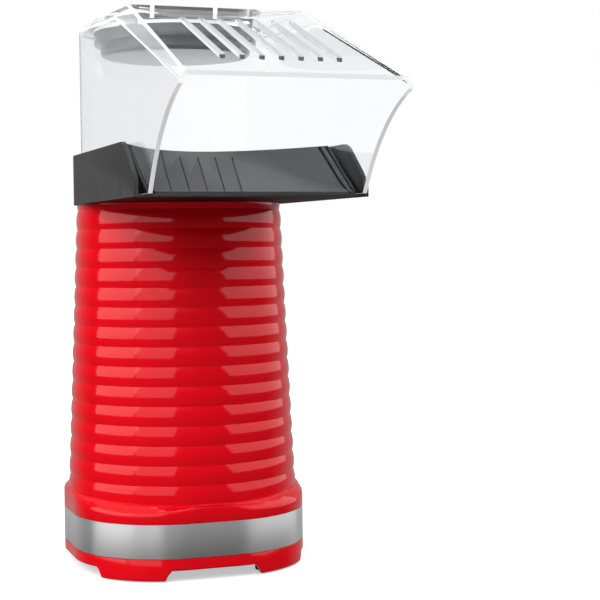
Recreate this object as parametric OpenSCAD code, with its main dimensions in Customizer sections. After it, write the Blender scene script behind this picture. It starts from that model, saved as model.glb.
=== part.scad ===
// Hot-air popcorn maker: ribbed body on a plinth, chute collar, lift-off hood and measuring cup.
// Millimetres, +Z up, the chute to -Y. The shapes are drawn about the body's axis, and then all
// of them move together, so that the origin is on the table under the middle of the whole.

/* [Plinth] */
// How far the plinth's flats stand outside the foot of the body
base_margin = 0.7; // [0.5:0.1:3]
// Distance of the plan corners' centres from the axis, along X and Y
base_corner_in = 12.6; // [10:0.2:16]
// Wall of the plinth
base_wall = 2.6; // [2:0.1:3.5]
// Height of the body's seat above the table, at the axis
shoulder_z = 45.9; // [44:0.5:60]
// Forward tilt of the shoulder in degrees
shoulder_tilt = 3.1; // [0:0.1:4]
// Fall of the shoulder per millimetre outwards
shoulder_fall = 0.7; // [0.4:0.1:1]
// Height of the arches between the feet
arch_h = 6.5; // [5:0.5:8]
// How far each foot reaches along the sides of the plinth
foot_side = 28.1; // [26:0.1:34]
// How far each foot reaches along the front and rear of the plinth
foot_front = 43.1; // [38:0.1:48]
// Bottom of the steel band above the table
band_z = 13.1; // [12:0.1:16]
// Height of the steel band
band_h = 19.4; // [12:0.1:20]
// Thickness of the steel band
band_t = 0.8; // [0.5:0.1:1.2]
// Width of the gap in the band at the rear
band_gap = 30; // [24:1:40]
// Thickness of the bottom plate
plate_t = 2.4; // [2:0.1:4]
// Radius of each rubber pad
pad_r = 7; // [5:0.5:8]
// Height that the pads stand proud of the moulded feet
pad_proud = 0.8; // [0.4:0.1:1.5]

/* [Body] */
// Height of the body shell above its seat
body_h = 166.3; // [150:0.1:190]
// Largest radius at the foot of the body
body_r_low = 67.9; // [61:0.1:75]
// How much smaller the largest radius is at the top of the body
body_taper = 7.4; // [6:0.1:8.5]
// Wall of the body shell, behind the grooves
body_wall = 2.4; // [1.8:0.1:3]
// Height of one rib
rib_pitch = 11.1; // [8:0.1:16]
// Depth of the grooves between the ribs
rib_depth = 0.8; // [0.4:0.1:1.2]
// Distance from the top of the body down to the first groove
rib_first = 3.7; // [2:0.1:6]

/* [Collar] */
// How far the collar stands outside the top of the body
collar_proud = 1.7; // [1.2:0.1:3]
// Wall of the collar
collar_wall = 2.2; // [1.6:0.1:2.6]
// Height of the collar
collar_h = 28.8; // [24:0.2:34]
// Reach of the chute in front of the axis
chute_reach = 149; // [135:1:160]
// Thickness of the collar's floor
floor_t = 1.2; // [1:0.1:2]
// Width of the channel that the hood stands in
channel_w = 5.2; // [4:0.1:5.6]
// Length of the slope at the front of the side walls
cheek_slope = 27; // [20:1:32]
// Height of the upright edge below that slope
cheek_edge = 10.5; // [8:0.5:14]

/* [Chute] */
// Thickness of the deck and of the ramp
deck_t = 2.2; // [1.8:0.1:3]
// How far the mouth's edge stands inside the chamber's wall
mouth_in = 0.7; // [0:0.1:3]
// Width of the rim between the mouth and the ramp
mouth_rim = 1.9; // [1.5:0.1:4]
// Distance that the ramp's upper edge comes forward at its ends
ramp_sweep = 64; // [50:1:70]
// Height of the lip above the collar's floor
lip_h = 1.4; // [1.2:0.1:3]

/* [Hood] */
// Wall of the clear hood
hood_wall = 2.2; // [1.8:0.1:2.6]
// Height of the hood's flat top above the collar's foot
hood_h = 103.3; // [95:0.1:115]
// Distance from the axis to the bend in the top
hood_bend = 91.5; // [80:0.5:100]
// Reach of the hood's upper front edge
hood_reach = 218.5; // [200:0.5:230]
// Drop of the top from the bend to the front edge
hood_drop = 48.4; // [40:0.2:56]
// Distance that the cheeks stand in front of the collar
hood_step = 9.5; // [6:0.5:14]
// Radius of the hood's upper edges
hood_round = 7; // [5:0.5:9]
// Number of vent slots
vent_count = 7; // [3:1:9]
// Spacing of the vent slots
vent_pitch = 9.9; // [7:0.1:10]
// Width of each vent slot
vent_w = 2.4; // [1.5:0.1:4]
// Distance from the axis to the rear of the slots
vent_rear = 117; // [110:1:125]
// Distance from the axis to the front of the slots
vent_front = 188; // [150:1:195]
// Sideways place of the middle slot
vent_shift = 2; // [0:0.5:3]

/* [Measuring cup] */
// Distance of the cup's neck inside the hood's outer wall
cup_in = 10.2; // [9.9:0.1:14]
// Width of the rim outside the neck
cup_rim_w = 2.8; // [1.5:0.1:4]
// Width of the step from the neck to the bowl
cup_step_w = 3.6; // [3:0.1:8]
// Height of the rim above the hood
cup_rim_h = 4; // [3:0.1:6]
// Depth of the neck below the hood's top
cup_neck_h = 9.5; // [6:0.1:12]
// Depth of the bowl below the neck
cup_bowl_h = 6.8; // [5:0.1:14]
// Wall of the cup
cup_wall = 1.8; // [1.4:0.1:2.4]

/* [Popping chamber] */
// Gap between the popping chamber's floor and the heater
chamber_gap = 4.4; // [3:0.1:12]
// Sheet thickness of the chamber
chamber_t = 1; // [0.8:0.1:1.2]
// Number of air louvres round the foot of the chamber
louvre_count = 18; // [10:1:22]
// Width of the air gap between the chamber and the heat shield
shield_gap = 3.5; // [2.5:0.1:5]
// Sheet thickness of the heat shield
shield_t = 1; // [0.8:0.1:1.2]
// Thickness of the gasket under the deck
gasket_t = 1.4; // [1:0.1:2.5]

/* [Heater] */
// Height of the mica plates
mica_h = 38; // [30:1:40]
// Thickness of the mica plates
mica_t = 1.2; // [0.8:0.1:1.6]
// Radius of the coiled heating wire
coil_r = 1.8; // [1.2:0.1:2.2]

/* [Fan and motor] */
// Gap between the fan's tips and its duct
fan_gap = 2.5; // [1:0.1:5]
// Height of the fan's blades
fan_h = 14; // [10:0.5:15]
// Number of fan blades
fan_blades = 9; // [5:1:11]
// Wall of the fan duct
duct_wall = 1.8; // [1.4:0.1:2.4]
// Height of the fan duct
duct_h = 23.5; // [22:0.5:26]
// Height of the motor bracket's underside above the table
bracket_z = 62; // [61:0.5:66]
// Thickness of the motor bracket
bracket_t = 2.5; // [2:0.1:3]
// Radius of the motor's can
can_r = 19; // [17:0.5:20]
// Length of the motor's can
can_h = 36; // [34:0.5:37]
// Radius of the motor shaft
shaft_r = 2; // [1.5:0.1:2.5]
// Running clearance of the shaft in its bushings
shaft_fit = 0.04; // [0.01:0.01:0.1]

/* [Switch and cord gland] */
// Height of the switch above the table
switch_z = 78; // [76:0.5:90]
// Width of the switch's frame
switch_w = 17.8; // [17:0.2:20]
// Height of the switch's frame
switch_h = 22; // [20:0.2:24]
// Angle that the rocker turns through
rocker_throw = 16; // [10:1:18]
// Radius of the cord gland's bore
gland_bore = 3.6; // [3:0.1:4]
// Height of the cord gland above the table
gland_z = 22.8; // [20:0.2:26]

/* [Hidden] */
$fn = 96;
tiny = 0.01;
big = 400;
snug = 0.1;     // radial play of pieces that are pushed together
loose = 0.3;    // play between pieces that move apart
pan_h = 2;      // height of a screw's head
pan_r = 3.2;    // radius of a screw's head
screw_r = 1.5;  // radius of a screw's shank
pilot_r = 1.55; // radius of the hole that a screw cuts into

// Heights that several pieces share
plate_z = arch_h;
plate_top = plate_z + plate_t;
collar_z = shoulder_z + body_h;
floor_top = collar_z + floor_t;
deck_top = collar_z + collar_h;
deck_low = deck_top - deck_t;
hood_z = floor_top + loose;
hood_top = collar_z + hood_h;

// Plinth
base_half = body_r_low + base_margin;
base_corner_r = base_half - base_corner_in;
seat_r = body_r_low + 0.3;
spigot_r = body_r_low - rib_depth - body_wall - 0.5;
spigot_w = 3;
spigot_h = 9;
skirt_h = 8;
ledge_w = 7.5;
ledge_t = 3;
ledge_z = shoulder_z + spigot_h - ledge_t;
boss_r = 4;
boss_gap = 2.8;
pad_gap = 0.6;
plate_screw_at = base_corner_r - base_wall - boss_r - boss_gap;
plate_screw_turn = 34.5;
pad_at = base_corner_r - base_wall - pad_r - pad_gap;
pad_turn = 59.3;
arch_flare = 2.5;
stem_r = 2.4;
bite = 9;

// Body
body_boss_at = spigot_r - spigot_w - 3.6;
body_boss_r = 3.6;
body_boss_h = 22;
body_r_top = body_r_low - body_taper;

// Collar and chute
collar_r = body_r_top + collar_proud;
block_r = collar_r - collar_wall - channel_w;
block_wall = 2;
neck_gap = 1.3;
neck_r = block_r - block_wall - neck_gap;
clip_r = body_r_top - rib_depth - body_wall - snug;
clip_w = 2.2;
clip_h = 8;
lip_z = floor_top + lip_h;
ramp_half = block_r + 0.4;
chute_boss_r = 4.2;
chute_screw_in = 6.6;
chute_screw_x = block_r - chute_screw_in;
chute_screw_rear = 70;
chute_screw_front = 32;
chute_screw_y = [-chute_screw_rear, -chute_reach + chute_screw_front];
chute_pilot = 4.2;
head_sink = 0.2;
well_top = collar_z + head_sink + pan_h;
well_cap = 1;

// Hood
hood_r = block_r + 0.4 + hood_wall;
hood_slope = atan(hood_drop / (hood_reach - hood_bend));
cheek_foot = chute_reach + hood_step;
front_round = 2.5;
cup_neck_r = hood_r - cup_in;
cup_rim_r = cup_neck_r + cup_rim_w;
cup_bowl_r = cup_neck_r - cup_step_w;
cup_play = 0.5;
hole_r = cup_neck_r + cup_play;
lug_at = cup_rim_r + 1.5;
lug_w = 2.4;
lug_t = 1;
lug_h = 3.2;
knee_out = 22.5;
knee_up = 35.8;
lug_turns = [-30, 10];

// Chamber, heater and fan stack
shield_play = 2;
shield_r = neck_r - shield_play;
chamber_r = shield_r - shield_t - shield_gap;
mouth_r = chamber_r - mouth_in;
ramp_rear = mouth_r + mouth_rim;
flange_out = 0.8;
flange_r = shield_r + flange_out;
flange_z = deck_low - gasket_t;
duct_z = bracket_z + bracket_t;
duct_top = duct_z + duct_h;
duct_lip_t = 1.5;
duct_lip_w = 1.5;
mica_play = 0.8;
mica_r = shield_r - shield_t - mica_play;
mica_top = duct_top + mica_h;
mica_core_r = 5;
coil_in = 16;
coil_edge = 4.7;
coil_count = 4;
chamber_z = mica_top + chamber_gap;
chamber_h = flange_z - chamber_t - chamber_z;
chamber_toe = 7;
louvre_h = 16;
louvre_w = 2;
louvre_up = 18;
fan_rise = 4;
fan_z = duct_z + fan_rise;
hub_r = 8;
blade_t = 1.6;

// Motor
can_z = bracket_z - can_h;
can_wall = 1;
endcap_h = 4;
endcap_z = can_z - endcap_h;
board_t = 1.6;
diode_h = 2.8;
bush_r = 4.5;
post_r = 4;
post_gap = 2.5;
post_bore = 11;
post_at = body_boss_at - body_boss_r - post_r - post_gap;
head_gap = 2;
duct_r = post_at - pan_r - head_gap - duct_wall;
fan_r = duct_r - fan_gap;
motor_screw_at = 12.5;
magnet_t = 4.5;
magnet_in = 4;
rotor_gap = 0.7;

// Switch and gland
switch_face = body_r_low + 0.4;
rocker_y = switch_face - 1.8;
rocker_half = 7.9;
rocker_w = 10;
well_h = 17.6;
well_w = rocker_w + 2 * loose;
pin_half = 6.4;
lead_r = 1.1;
lead_x = 3.6;
lead_y = duct_r + duct_wall + 5.7;
tab_z = switch_z - 5;
notch_y = duct_r + 3.5;
terminal_h = 14;
terminal_deep = 7;
gland_r = 5.2;

// Reach of the whole to the rear, and the place of the body's axis
rear_reach = switch_face + 3.4;
axis_y = (hood_reach - rear_reach) / 2;

// Radius of the crests at height z, and of the wavy skin there
function crest_r(z) = body_r_low + (body_r_top - body_r_low) * (z - shoulder_z) / body_h;
function rib_phase(z) = let (d = (collar_z - rib_first - z) / rib_pitch) d - floor(d);
function skin_r(z) = crest_r(z) - rib_depth * pow(2 * rib_phase(z) - 1, 2);
// Height of the ribbed skin's points: eight to a rib, with one at each groove
function skin_z() = [for (i = [-2 : 8 * ceil(body_h / rib_pitch) + 4])
  let (z = collar_z - rib_first - i * rib_pitch / 8) if (z < collar_z && z > shoulder_z - 8) z];
// Distance forward of the ramp's upper edge at sideways place x
function ramp_edge(x) = ramp_rear + ramp_sweep * pow(x / ramp_half, 2);
// Height of the hood's slanted top, a distance y in front of the axis
function roof_z(y) = hood_top - (y - hood_bend) * tan(hood_slope);
function bezier(a, b, c, t) = pow(1 - t, 2) * a + 2 * t * (1 - t) * b + t * t * c;

// ---- shared shapes ----

module at_corners(x, y) {
  for (sx = [-1, 1], sy = [-1, 1]) translate([sx * x, sy * y, 0]) children();
}

module ring(outer, inner, h) {
  difference() {
    cylinder(r = outer, h = h);
    translate([0, 0, -tiny]) cylinder(r = inner, h = h + 2 * tiny);
  }
}

// Upright prism on the plinth's plan, moved in from its outside by inset
module plinth_plan(inset, h) {
  half = base_half - inset;
  r = base_corner_r - inset;
  c = base_corner_in;
  at_corners(c, c) cylinder(r = r, h = h);
  translate([-half, -c, 0]) cube([2 * half, 2 * c, h]);
  translate([-c, -half, 0]) cube([2 * c, 2 * half, h]);
}

// Children at a distance from each plan corner's centre, on a line turned from the X axis
module near_corners(at, turn) {
  at_corners(base_corner_in + at * cos(turn), base_corner_in + at * sin(turn)) children();
}

// Everything under the shoulder, lowered by drop
module under_shoulder(drop) {
  reach = 100;
  translate([0, 0, shoulder_z - drop]) rotate([shoulder_tilt, 0, 0]) rotate_extrude()
    polygon([[0, -reach], [reach, -reach], [reach, -(reach - seat_r) * shoulder_fall],
      [seat_r, 0], [0, 0]]);
}

// Round at the rear, straight sides to the front
module d_plan(r, front, h) {
  cylinder(r = r, h = h);
  translate([-r, -front, 0]) cube([2 * r, front, h]);
}

// Screw with its head below and its tip up
module screw(length, head_r = pan_r, shank_r = screw_r) {
  cylinder(r = head_r, h = pan_h);
  translate([0, 0, pan_h - tiny]) cylinder(r = shank_r, h = length);
}

module slot_cut(width, length, h) {
  cylinder(d = width, h = h);
  translate([-width / 2, -length, 0]) cube([width, length, h]);
  translate([0, -length, 0]) cylinder(d = width, h = h);
}

// ---- plinth ----

module arch(half) {
  foot = half + arch_flare;
  rotate([90, 0, 0]) translate([0, 0, -base_half - 5]) linear_extrude(2 * base_half + 10)
    polygon([[-foot, -1], [foot, -1], [foot, pad_proud], [half, arch_h], [-half, arch_h],
      [-foot, pad_proud]]);
}

module base_shell() {
  color("red") difference() {
    union() {
      difference() {
        intersection() {
          translate([0, 0, pad_proud]) plinth_plan(0, shoulder_z + 10);
          under_shoulder(0);
        }
        intersection() {
          translate([0, 0, -1]) plinth_plan(base_wall, shoulder_z + 10);
          under_shoulder(3);
        }
      }
      translate([0, 0, shoulder_z - skirt_h]) ring(spigot_r, spigot_r - spigot_w, skirt_h + spigot_h);
      translate([0, 0, ledge_z]) ring(spigot_r - 1, spigot_r - spigot_w - ledge_w, ledge_t);
      near_corners(plate_screw_at, plate_screw_turn)
        translate([0, 0, plate_top]) cylinder(r = boss_r, h = shoulder_z - skirt_h + 2 - plate_top);
    }
    translate([0, 0, shoulder_z - skirt_h - 4])
      cylinder(r = spigot_r - spigot_w, h = skirt_h + 4 + spigot_h - ledge_t);
    arch(base_half - foot_front);
    rotate([0, 0, 90]) arch(base_half - foot_side);
    translate([0, 0, band_z]) difference() {
      plinth_plan(-2, band_h);
      translate([0, 0, -1]) plinth_plan(band_t, band_h + 2);
      translate([-band_gap / 2, 0, -1]) cube([band_gap, big, band_h + 2]);
    }
    near_corners(plate_screw_at, plate_screw_turn)
      translate([0, 0, plate_top - 1]) cylinder(r = pilot_r, h = 1.5 * bite);
    for (a = [45 : 90 : 315]) rotate([0, 0, a])
      translate([body_boss_at, 0, ledge_z - 1]) cylinder(r = screw_r + 0.2, h = ledge_t + 2);
    translate([0, 0, gland_z]) rotate([-90, 0, 0]) cylinder(r = gland_r + snug, h = big);
  }
}

module steel_band() {
  color("silver") translate([0, 0, band_z + snug]) difference() {
    plinth_plan(0, band_h - 2 * snug);
    translate([0, 0, -1]) plinth_plan(band_t - snug, band_h + 2);
    translate([-band_gap / 2 - snug, 0, -1]) cube([band_gap + 2 * snug, big, band_h + 2]);
  }
}

module bottom_plate() {
  inlet_rows = 12;
  inlet_in = 17;
  inlet_w = 4;
  inlet_l = 14;
  color("dimgray") difference() {
    translate([0, 0, plate_z]) plinth_plan(base_wall + 0.3, plate_t);
    for (i = [0 : inlet_rows - 1]) rotate([0, 0, i * 360 / inlet_rows])
      translate([0, -inlet_in, plate_z - 1]) slot_cut(inlet_w, inlet_l, plate_t + 2);
    near_corners(plate_screw_at, plate_screw_turn)
      translate([0, 0, plate_z - 1]) cylinder(r = screw_r + 0.2, h = plate_t + 2);
    near_corners(pad_at, pad_turn)
      translate([0, 0, plate_z - 1]) cylinder(r = stem_r + snug, h = plate_t + 2);
    for (a = [45 : 90 : 315]) rotate([0, 0, a])
      translate([post_at, 0, plate_z - 1]) cylinder(r = screw_r + 0.2, h = plate_t + 2);
  }
}

module motor_posts() {
  color("gray") for (a = [45 : 90 : 315]) rotate([0, 0, a]) translate([post_at, 0, plate_top]) difference() {
    cylinder(r = post_r, h = bracket_z - plate_top);
    translate([0, 0, -1]) cylinder(r = pilot_r, h = post_bore + 1);
    translate([0, 0, bracket_z - plate_top - post_bore]) cylinder(r = pilot_r, h = post_bore + 1);
  }
}

module post_screws() {
  color("silver") for (a = [45 : 90 : 315]) rotate([0, 0, a])
    translate([post_at, 0, plate_z - pan_h]) screw(plate_t + bite);
}

module rubber_feet() {
  color("black") near_corners(pad_at, pad_turn) {
    cylinder(r = pad_r, h = plate_z);
    cylinder(r = stem_r, h = plate_top + 1);
  }
}

module plate_screws() {
  color("silver") near_corners(plate_screw_at, plate_screw_turn)
    translate([0, 0, plate_z - pan_h]) screw(plate_t + bite);
}

// ---- body ----

module body_shell() {
  zs = skin_z();
  skin = [for (z = zs) [skin_r(z), z]];
  color("red") difference() {
    union() {
      difference() {
        rotate_extrude() polygon(concat(
          [[body_r_top - rib_depth - body_wall, collar_z], [skin_r(collar_z), collar_z]], skin,
          [[skin_r(shoulder_z - 8), shoulder_z - 8],
            [body_r_low - rib_depth - body_wall, shoulder_z - 8],
            [body_r_low - rib_depth - body_wall, shoulder_z]]));
        translate([0, 0, shoulder_z]) rotate([shoulder_tilt, 0, 0])
          translate([-big / 2, -big / 2, -50]) cube([big, big, 50]);
      }
      for (a = [45 : 90 : 315]) rotate([0, 0, a]) {
        translate([body_boss_at, 0, ledge_z + ledge_t]) cylinder(r = body_boss_r, h = body_boss_h);
        translate([body_boss_at, -1, ledge_z + ledge_t]) cube([spigot_r - body_boss_at + 1, 2, body_boss_h]);
      }
      translate([-switch_w / 2 - 3, spigot_r - 3, switch_z - switch_h / 2 - 3])
        cube([switch_w + 6, switch_face - spigot_r + 3, switch_h + 6]);
    }
    for (a = [45 : 90 : 315]) rotate([0, 0, a])
      translate([body_boss_at, 0, ledge_z]) cylinder(r = pilot_r, h = ledge_t + body_boss_h - 4);
    translate([-switch_w / 2 + 1.4, 40, switch_z - switch_h / 2 + 1.4])
      cube([switch_w - 2.8, big, switch_h - 2.8]);
  }
}

module body_screws() {
  color("silver") for (a = [45 : 90 : 315]) rotate([0, 0, a])
    translate([body_boss_at, 0, ledge_z - pan_h]) screw(ledge_t + bite);
}

// ---- collar and chute ----

module at_chute_screws() {
  for (sx = [-1, 1], y = chute_screw_y) translate([sx * chute_screw_x, y, 0]) children();
}

module collar_tray() {
  top = collar_z + collar_h;
  edge_z = collar_z + cheek_edge;
  color([0.2, 0.2, 0.21]) {
    difference() {
      translate([0, 0, collar_z]) d_plan(collar_r, chute_reach, collar_h);
      translate([0, 0, floor_top]) d_plan(collar_r - collar_wall, chute_reach + 10, collar_h);
      translate([0, 0, collar_z - 1]) cylinder(r = neck_r, h = floor_t + 2);
      translate([-big / 2, 0, 0]) rotate([90, 0, 90]) linear_extrude(big)
        polygon([[-chute_reach + cheek_slope + 4, top + 1], [-chute_reach + cheek_slope, top],
          [-chute_reach + cheek_slope - 6, top - 2.2], [-chute_reach + 3.5, edge_z + 2.5],
          [-chute_reach + 1, edge_z], [-chute_reach, edge_z - 3], [-chute_reach - 1, edge_z - 3],
          [-chute_reach - 1, top + 1]]);
      at_chute_screws() translate([0, 0, collar_z - 1]) cylinder(r = chute_boss_r - 1, h = 10);
    }
    at_chute_screws() translate([0, 0, collar_z]) difference() {
      cylinder(r = chute_boss_r, h = well_top + well_cap - collar_z);
      translate([0, 0, -1]) cylinder(r = pan_r + 0.1, h = well_top - collar_z + 1);
      cylinder(r = screw_r + 0.2, h = 10);
    }
    translate([0, 0, collar_z - clip_h]) ring(clip_r, clip_r - clip_w, clip_h + tiny);
  }
}

// Space above the ramp: straight lip in front, upper edge swept round the mouth
module ramp_space(drop) {
  steps = 24;
  front = chute_reach + 2;
  slope = (deck_top - lip_z) / (chute_reach - ramp_rear);
  edge = [for (i = [-steps : steps]) let (x = ramp_half * i / steps) [x, -ramp_edge(x)]];
  translate([0, 0, -drop]) hull() {
    translate([0, 0, deck_top]) linear_extrude(30)
      polygon(concat([[-ramp_half, -front]], edge, [[ramp_half, -front]]));
    translate([-ramp_half, -front, lip_z - (front - chute_reach) * slope])
      cube([2 * ramp_half, tiny, 20]);
  }
}

module chute_deck() {
  inner_r = block_r - block_wall;
  color([0.2, 0.2, 0.21]) difference() {
    union() {
      difference() {
        translate([0, 0, floor_top]) d_plan(block_r, chute_reach, deck_top - floor_top);
        difference() {
          translate([0, 0, floor_top - 1])
            d_plan(inner_r, chute_reach - block_wall, deck_low - floor_top + 1);
          ramp_space(deck_t);
        }
      }
      at_chute_screws() translate([0, 0, well_top + well_cap])
        cylinder(r = chute_boss_r, h = deck_low - well_top - well_cap + tiny);
    }
    ramp_space(0);
    translate([0, 0, deck_low - 1]) cylinder(r = mouth_r, h = deck_t + 2);
    translate([0, 0, floor_top - 1]) cylinder(r = flange_r + 0.6, h = deck_low - floor_top + 1);
    at_chute_screws() translate([0, 0, well_top + well_cap - 1])
      cylinder(r = pilot_r, h = chute_pilot + 1);
  }
}

module chute_screws() {
  color("silver") at_chute_screws() translate([0, 0, well_top - pan_h])
    screw(well_cap + chute_pilot - 0.6);
}

// ---- hood ----

// The hood's closed outline, moved in by inset and drawn out to the front by reach
module hood_form(inset, reach, foot) {
  r = hood_r - inset;
  top = hood_top - inset;
  edge = hood_round - inset;
  nose = max(front_round - inset, 0.2);
  hull() {
    translate([0, 0, foot]) d_plan(r, reach, 10);
    translate([0, 0, top - edge]) rotate_extrude($fn = 72) {
      square([r - edge, edge]);
      translate([r - edge, 0]) intersection() {
        circle(r = edge, $fn = 32);
        square(edge);
      }
    }
    for (sx = [-1, 1]) {
      translate([sx * (r - edge), -hood_bend, top - edge]) sphere(r = edge, $fn = 32);
      translate([sx * (r - nose), -reach + nose, roof_z(reach - nose) - inset - nose])
        sphere(r = nose, $fn = 24);
    }
  }
}

module hood_cheeks() {
  steps = 16;
  foot = [-cheek_foot, hood_z];
  knee = [-cheek_foot - knee_out, hood_z + knee_up];
  brow = [-hood_reach, roof_z(hood_reach) - front_round - 1];
  curve = [for (i = [0 : steps]) bezier(foot, knee, brow, i / steps)];
  translate([-big / 2, 0, 0]) rotate([90, 0, 90]) linear_extrude(big)
    polygon(concat([[big, hood_z]], curve,
      [[-hood_reach - 5, brow[1]], [-hood_reach - 5, big], [big, big]]));
}

module hood() {
  color([0.9, 0.95, 1, 0.35]) {
    difference() {
      intersection() {
        hood_form(0, hood_reach, hood_z);
        hood_cheeks();
      }
      hood_form(hood_wall, hood_reach + 12, hood_z - 12);
      translate([0, 0, hood_top - 20]) cylinder(r = hole_r, h = 40);
      for (i = [0 : vent_count - 1])
        translate([vent_shift + (i - (vent_count - 1) / 2) * vent_pitch, -vent_rear, hood_top - 80])
          slot_cut(vent_w, vent_front - vent_rear, 100);
    }
    for (a = lug_turns) rotate([0, 0, a])
      translate([-lug_w / 2, -lug_at - lug_t, hood_top - tiny]) cube([lug_w, lug_t, lug_h]);
  }
}

// ---- measuring cup ----

module measuring_cup() {
  seat = hood_top + loose;
  neck_z = hood_top - cup_neck_h;
  floor_z = neck_z - cup_bowl_h;
  round_r = cup_bowl_h - 0.4;
  steps = 8;
  w = cup_wall;
  arc = [for (i = [0 : steps]) let (a = 90 * i / steps)
    [cup_bowl_r - round_r + round_r * cos(a), floor_z + round_r - round_r * sin(a)]];
  inner_arc = [for (i = [steps : -1 : 0]) let (a = 90 * i / steps, r = round_r - w)
    [cup_bowl_r - round_r + r * cos(a), floor_z + round_r - r * sin(a)]];
  color([0.35, 0.36, 0.37, 0.8]) rotate_extrude() polygon(concat(
    [[cup_rim_r, seat], [cup_rim_r, seat + cup_rim_h], [cup_neck_r - w, seat + cup_rim_h],
      [cup_neck_r - w, neck_z + w], [cup_bowl_r - w, neck_z + w]],
    [for (i = [len(inner_arc) - 1 : -1 : 0]) inner_arc[i]],
    [[0, floor_z + w], [0, floor_z]],
    [for (i = [len(arc) - 1 : -1 : 0]) arc[i]],
    [[cup_bowl_r, neck_z], [cup_neck_r, neck_z], [cup_neck_r, seat]]));
}

// ---- popping chamber and heater ----

module popping_chamber() {
  t = chamber_t;
  toe = chamber_toe;
  color([0.75, 0.76, 0.78]) difference() {
    translate([0, 0, chamber_z]) rotate_extrude() polygon([[0, 0], [chamber_r - toe, 0], [chamber_r, toe],
      [chamber_r, chamber_h], [flange_r, chamber_h], [flange_r, chamber_h + t],
      [chamber_r - t, chamber_h + t], [chamber_r - t, toe + t * 0.4],
      [chamber_r - toe - t * 0.4, t], [0, t]]);
    for (i = [0 : louvre_count - 1]) rotate([0, 0, i * 360 / louvre_count])
      translate([chamber_r, 0, chamber_z + louvre_up]) rotate([25, 0, 0])
        cube([4 * t + 2, louvre_w, louvre_h], center = true);
  }
}

module chamber_gasket() {
  color([0.75, 0.3, 0.2]) translate([0, 0, flange_z]) ring(flange_r - 0.5, chamber_r + 0.5, gasket_t);
}

module heat_shield() {
  top = flange_z - chamber_t;
  color([0.7, 0.7, 0.72]) difference() {
    union() {
      translate([0, 0, duct_top]) ring(shield_r, shield_r - shield_t, top - duct_top);
      translate([shield_r - 1.2, -9, chamber_z + 20]) cube([3, 18, 20]);
    }
    translate([0, 0, chamber_z + 15]) cylinder(r = shield_r - shield_t, h = 40);
  }
}

module mica_frame() {
  slot_at = coil_places();
  color([0.8, 0.72, 0.55]) difference() {
    union() {
      for (a = [0 : 60 : 120]) rotate([0, 0, a])
        translate([-mica_r, -mica_t / 2, duct_top]) cube([2 * mica_r, mica_t, mica_h]);
      translate([0, 0, duct_top]) cylinder(r = mica_core_r, h = mica_h);
    }
    for (p = slot_at) translate([0, 0, p[1]]) rotate_extrude()
      translate([p[0], 0]) circle(r = coil_r + snug, $fn = 24);
  }
}

// Radius and height of each turn of the heating coil
function coil_places() = let (step = (mica_r - coil_edge - coil_in) / (coil_count - 1))
  [for (i = [0 : coil_count - 1]) [coil_in + i * step, duct_top + mica_h * (i < 2 ? 0.35 : 0.7)]];

module heating_coil() {
  color([0.55, 0.35, 0.2]) for (p = coil_places()) translate([0, 0, p[1]]) rotate_extrude()
    translate([p[0], 0]) circle(r = coil_r, $fn = 24);
}

module thermostat() {
  color([0.6, 0.6, 0.62]) translate([shield_r + 1.8, 0, chamber_z + 30]) rotate([0, 90, 0]) {
    cylinder(r = 7.5, h = 4);
    translate([-11, -4, 0]) cube([22, 8, 0.8]);
  }
}

module thermal_fuse() {
  color("white") translate([0, -shield_r - 2, chamber_z + 20]) cylinder(r = 1.9, h = 13);
}

// ---- fan and motor ----

module fan_duct() {
  color([0.15, 0.15, 0.15]) difference() {
    union() {
      translate([0, 0, duct_z]) cylinder(r = post_at + post_r, h = duct_lip_t);
      translate([0, 0, duct_z]) cylinder(r = duct_r + duct_wall, h = duct_h);
      translate([0, 0, duct_top - duct_lip_t]) cylinder(r = shield_r + duct_lip_w, h = duct_lip_t);
    }
    translate([0, 0, duct_z - 1]) cylinder(r = duct_r, h = duct_h + 2);
    for (a = [45 : 90 : 315]) rotate([0, 0, a])
      translate([post_at, 0, duct_z - 1]) cylinder(r = screw_r + 0.2, h = 4);
    translate([-8, notch_y, duct_z - 1]) cube([16, 20, duct_lip_t + 2]);
  }
}

module motor_bracket() {
  arm_w = 9;
  color([0.5, 0.5, 0.52]) difference() {
    translate([0, 0, bracket_z]) cylinder(r = post_at + post_r, h = bracket_t);
    difference() {
      translate([0, 0, bracket_z - 1]) ring(duct_r - 1.5, can_r + 2, bracket_t + 2);
      for (a = [45, 135]) rotate([0, 0, a])
        translate([-big / 2, -arm_w / 2, bracket_z - 2]) cube([big, arm_w, bracket_t + 4]);
    }
    translate([0, 0, bracket_z - 1]) cylinder(r = bush_r + 1.2, h = bracket_t + 2);
    for (a = [45 : 90 : 315]) rotate([0, 0, a])
      translate([post_at, 0, bracket_z - 1]) cylinder(r = screw_r + 0.2, h = bracket_t + 2);
    for (a = [0, 180]) rotate([0, 0, a])
      translate([motor_screw_at, 0, bracket_z - 1]) cylinder(r = screw_r + 0.2, h = bracket_t + 2);
    translate([-8, notch_y, bracket_z - 1]) cube([16, 20, bracket_t + 2]);
  }
}

module bracket_screws() {
  color("silver") for (a = [45 : 90 : 315]) rotate([0, 0, a])
    translate([post_at, 0, duct_z + duct_lip_t + pan_h]) mirror([0, 0, 1])
      screw(duct_lip_t + bracket_t + bite - 2);
}

module motor_screws() {
  color("silver") for (a = [0, 180]) rotate([0, 0, a])
    translate([motor_screw_at, 0, bracket_z + bracket_t + pan_h]) mirror([0, 0, 1])
      screw(bracket_t + can_wall + 1.5, head_r = 2.6);
}

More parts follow.
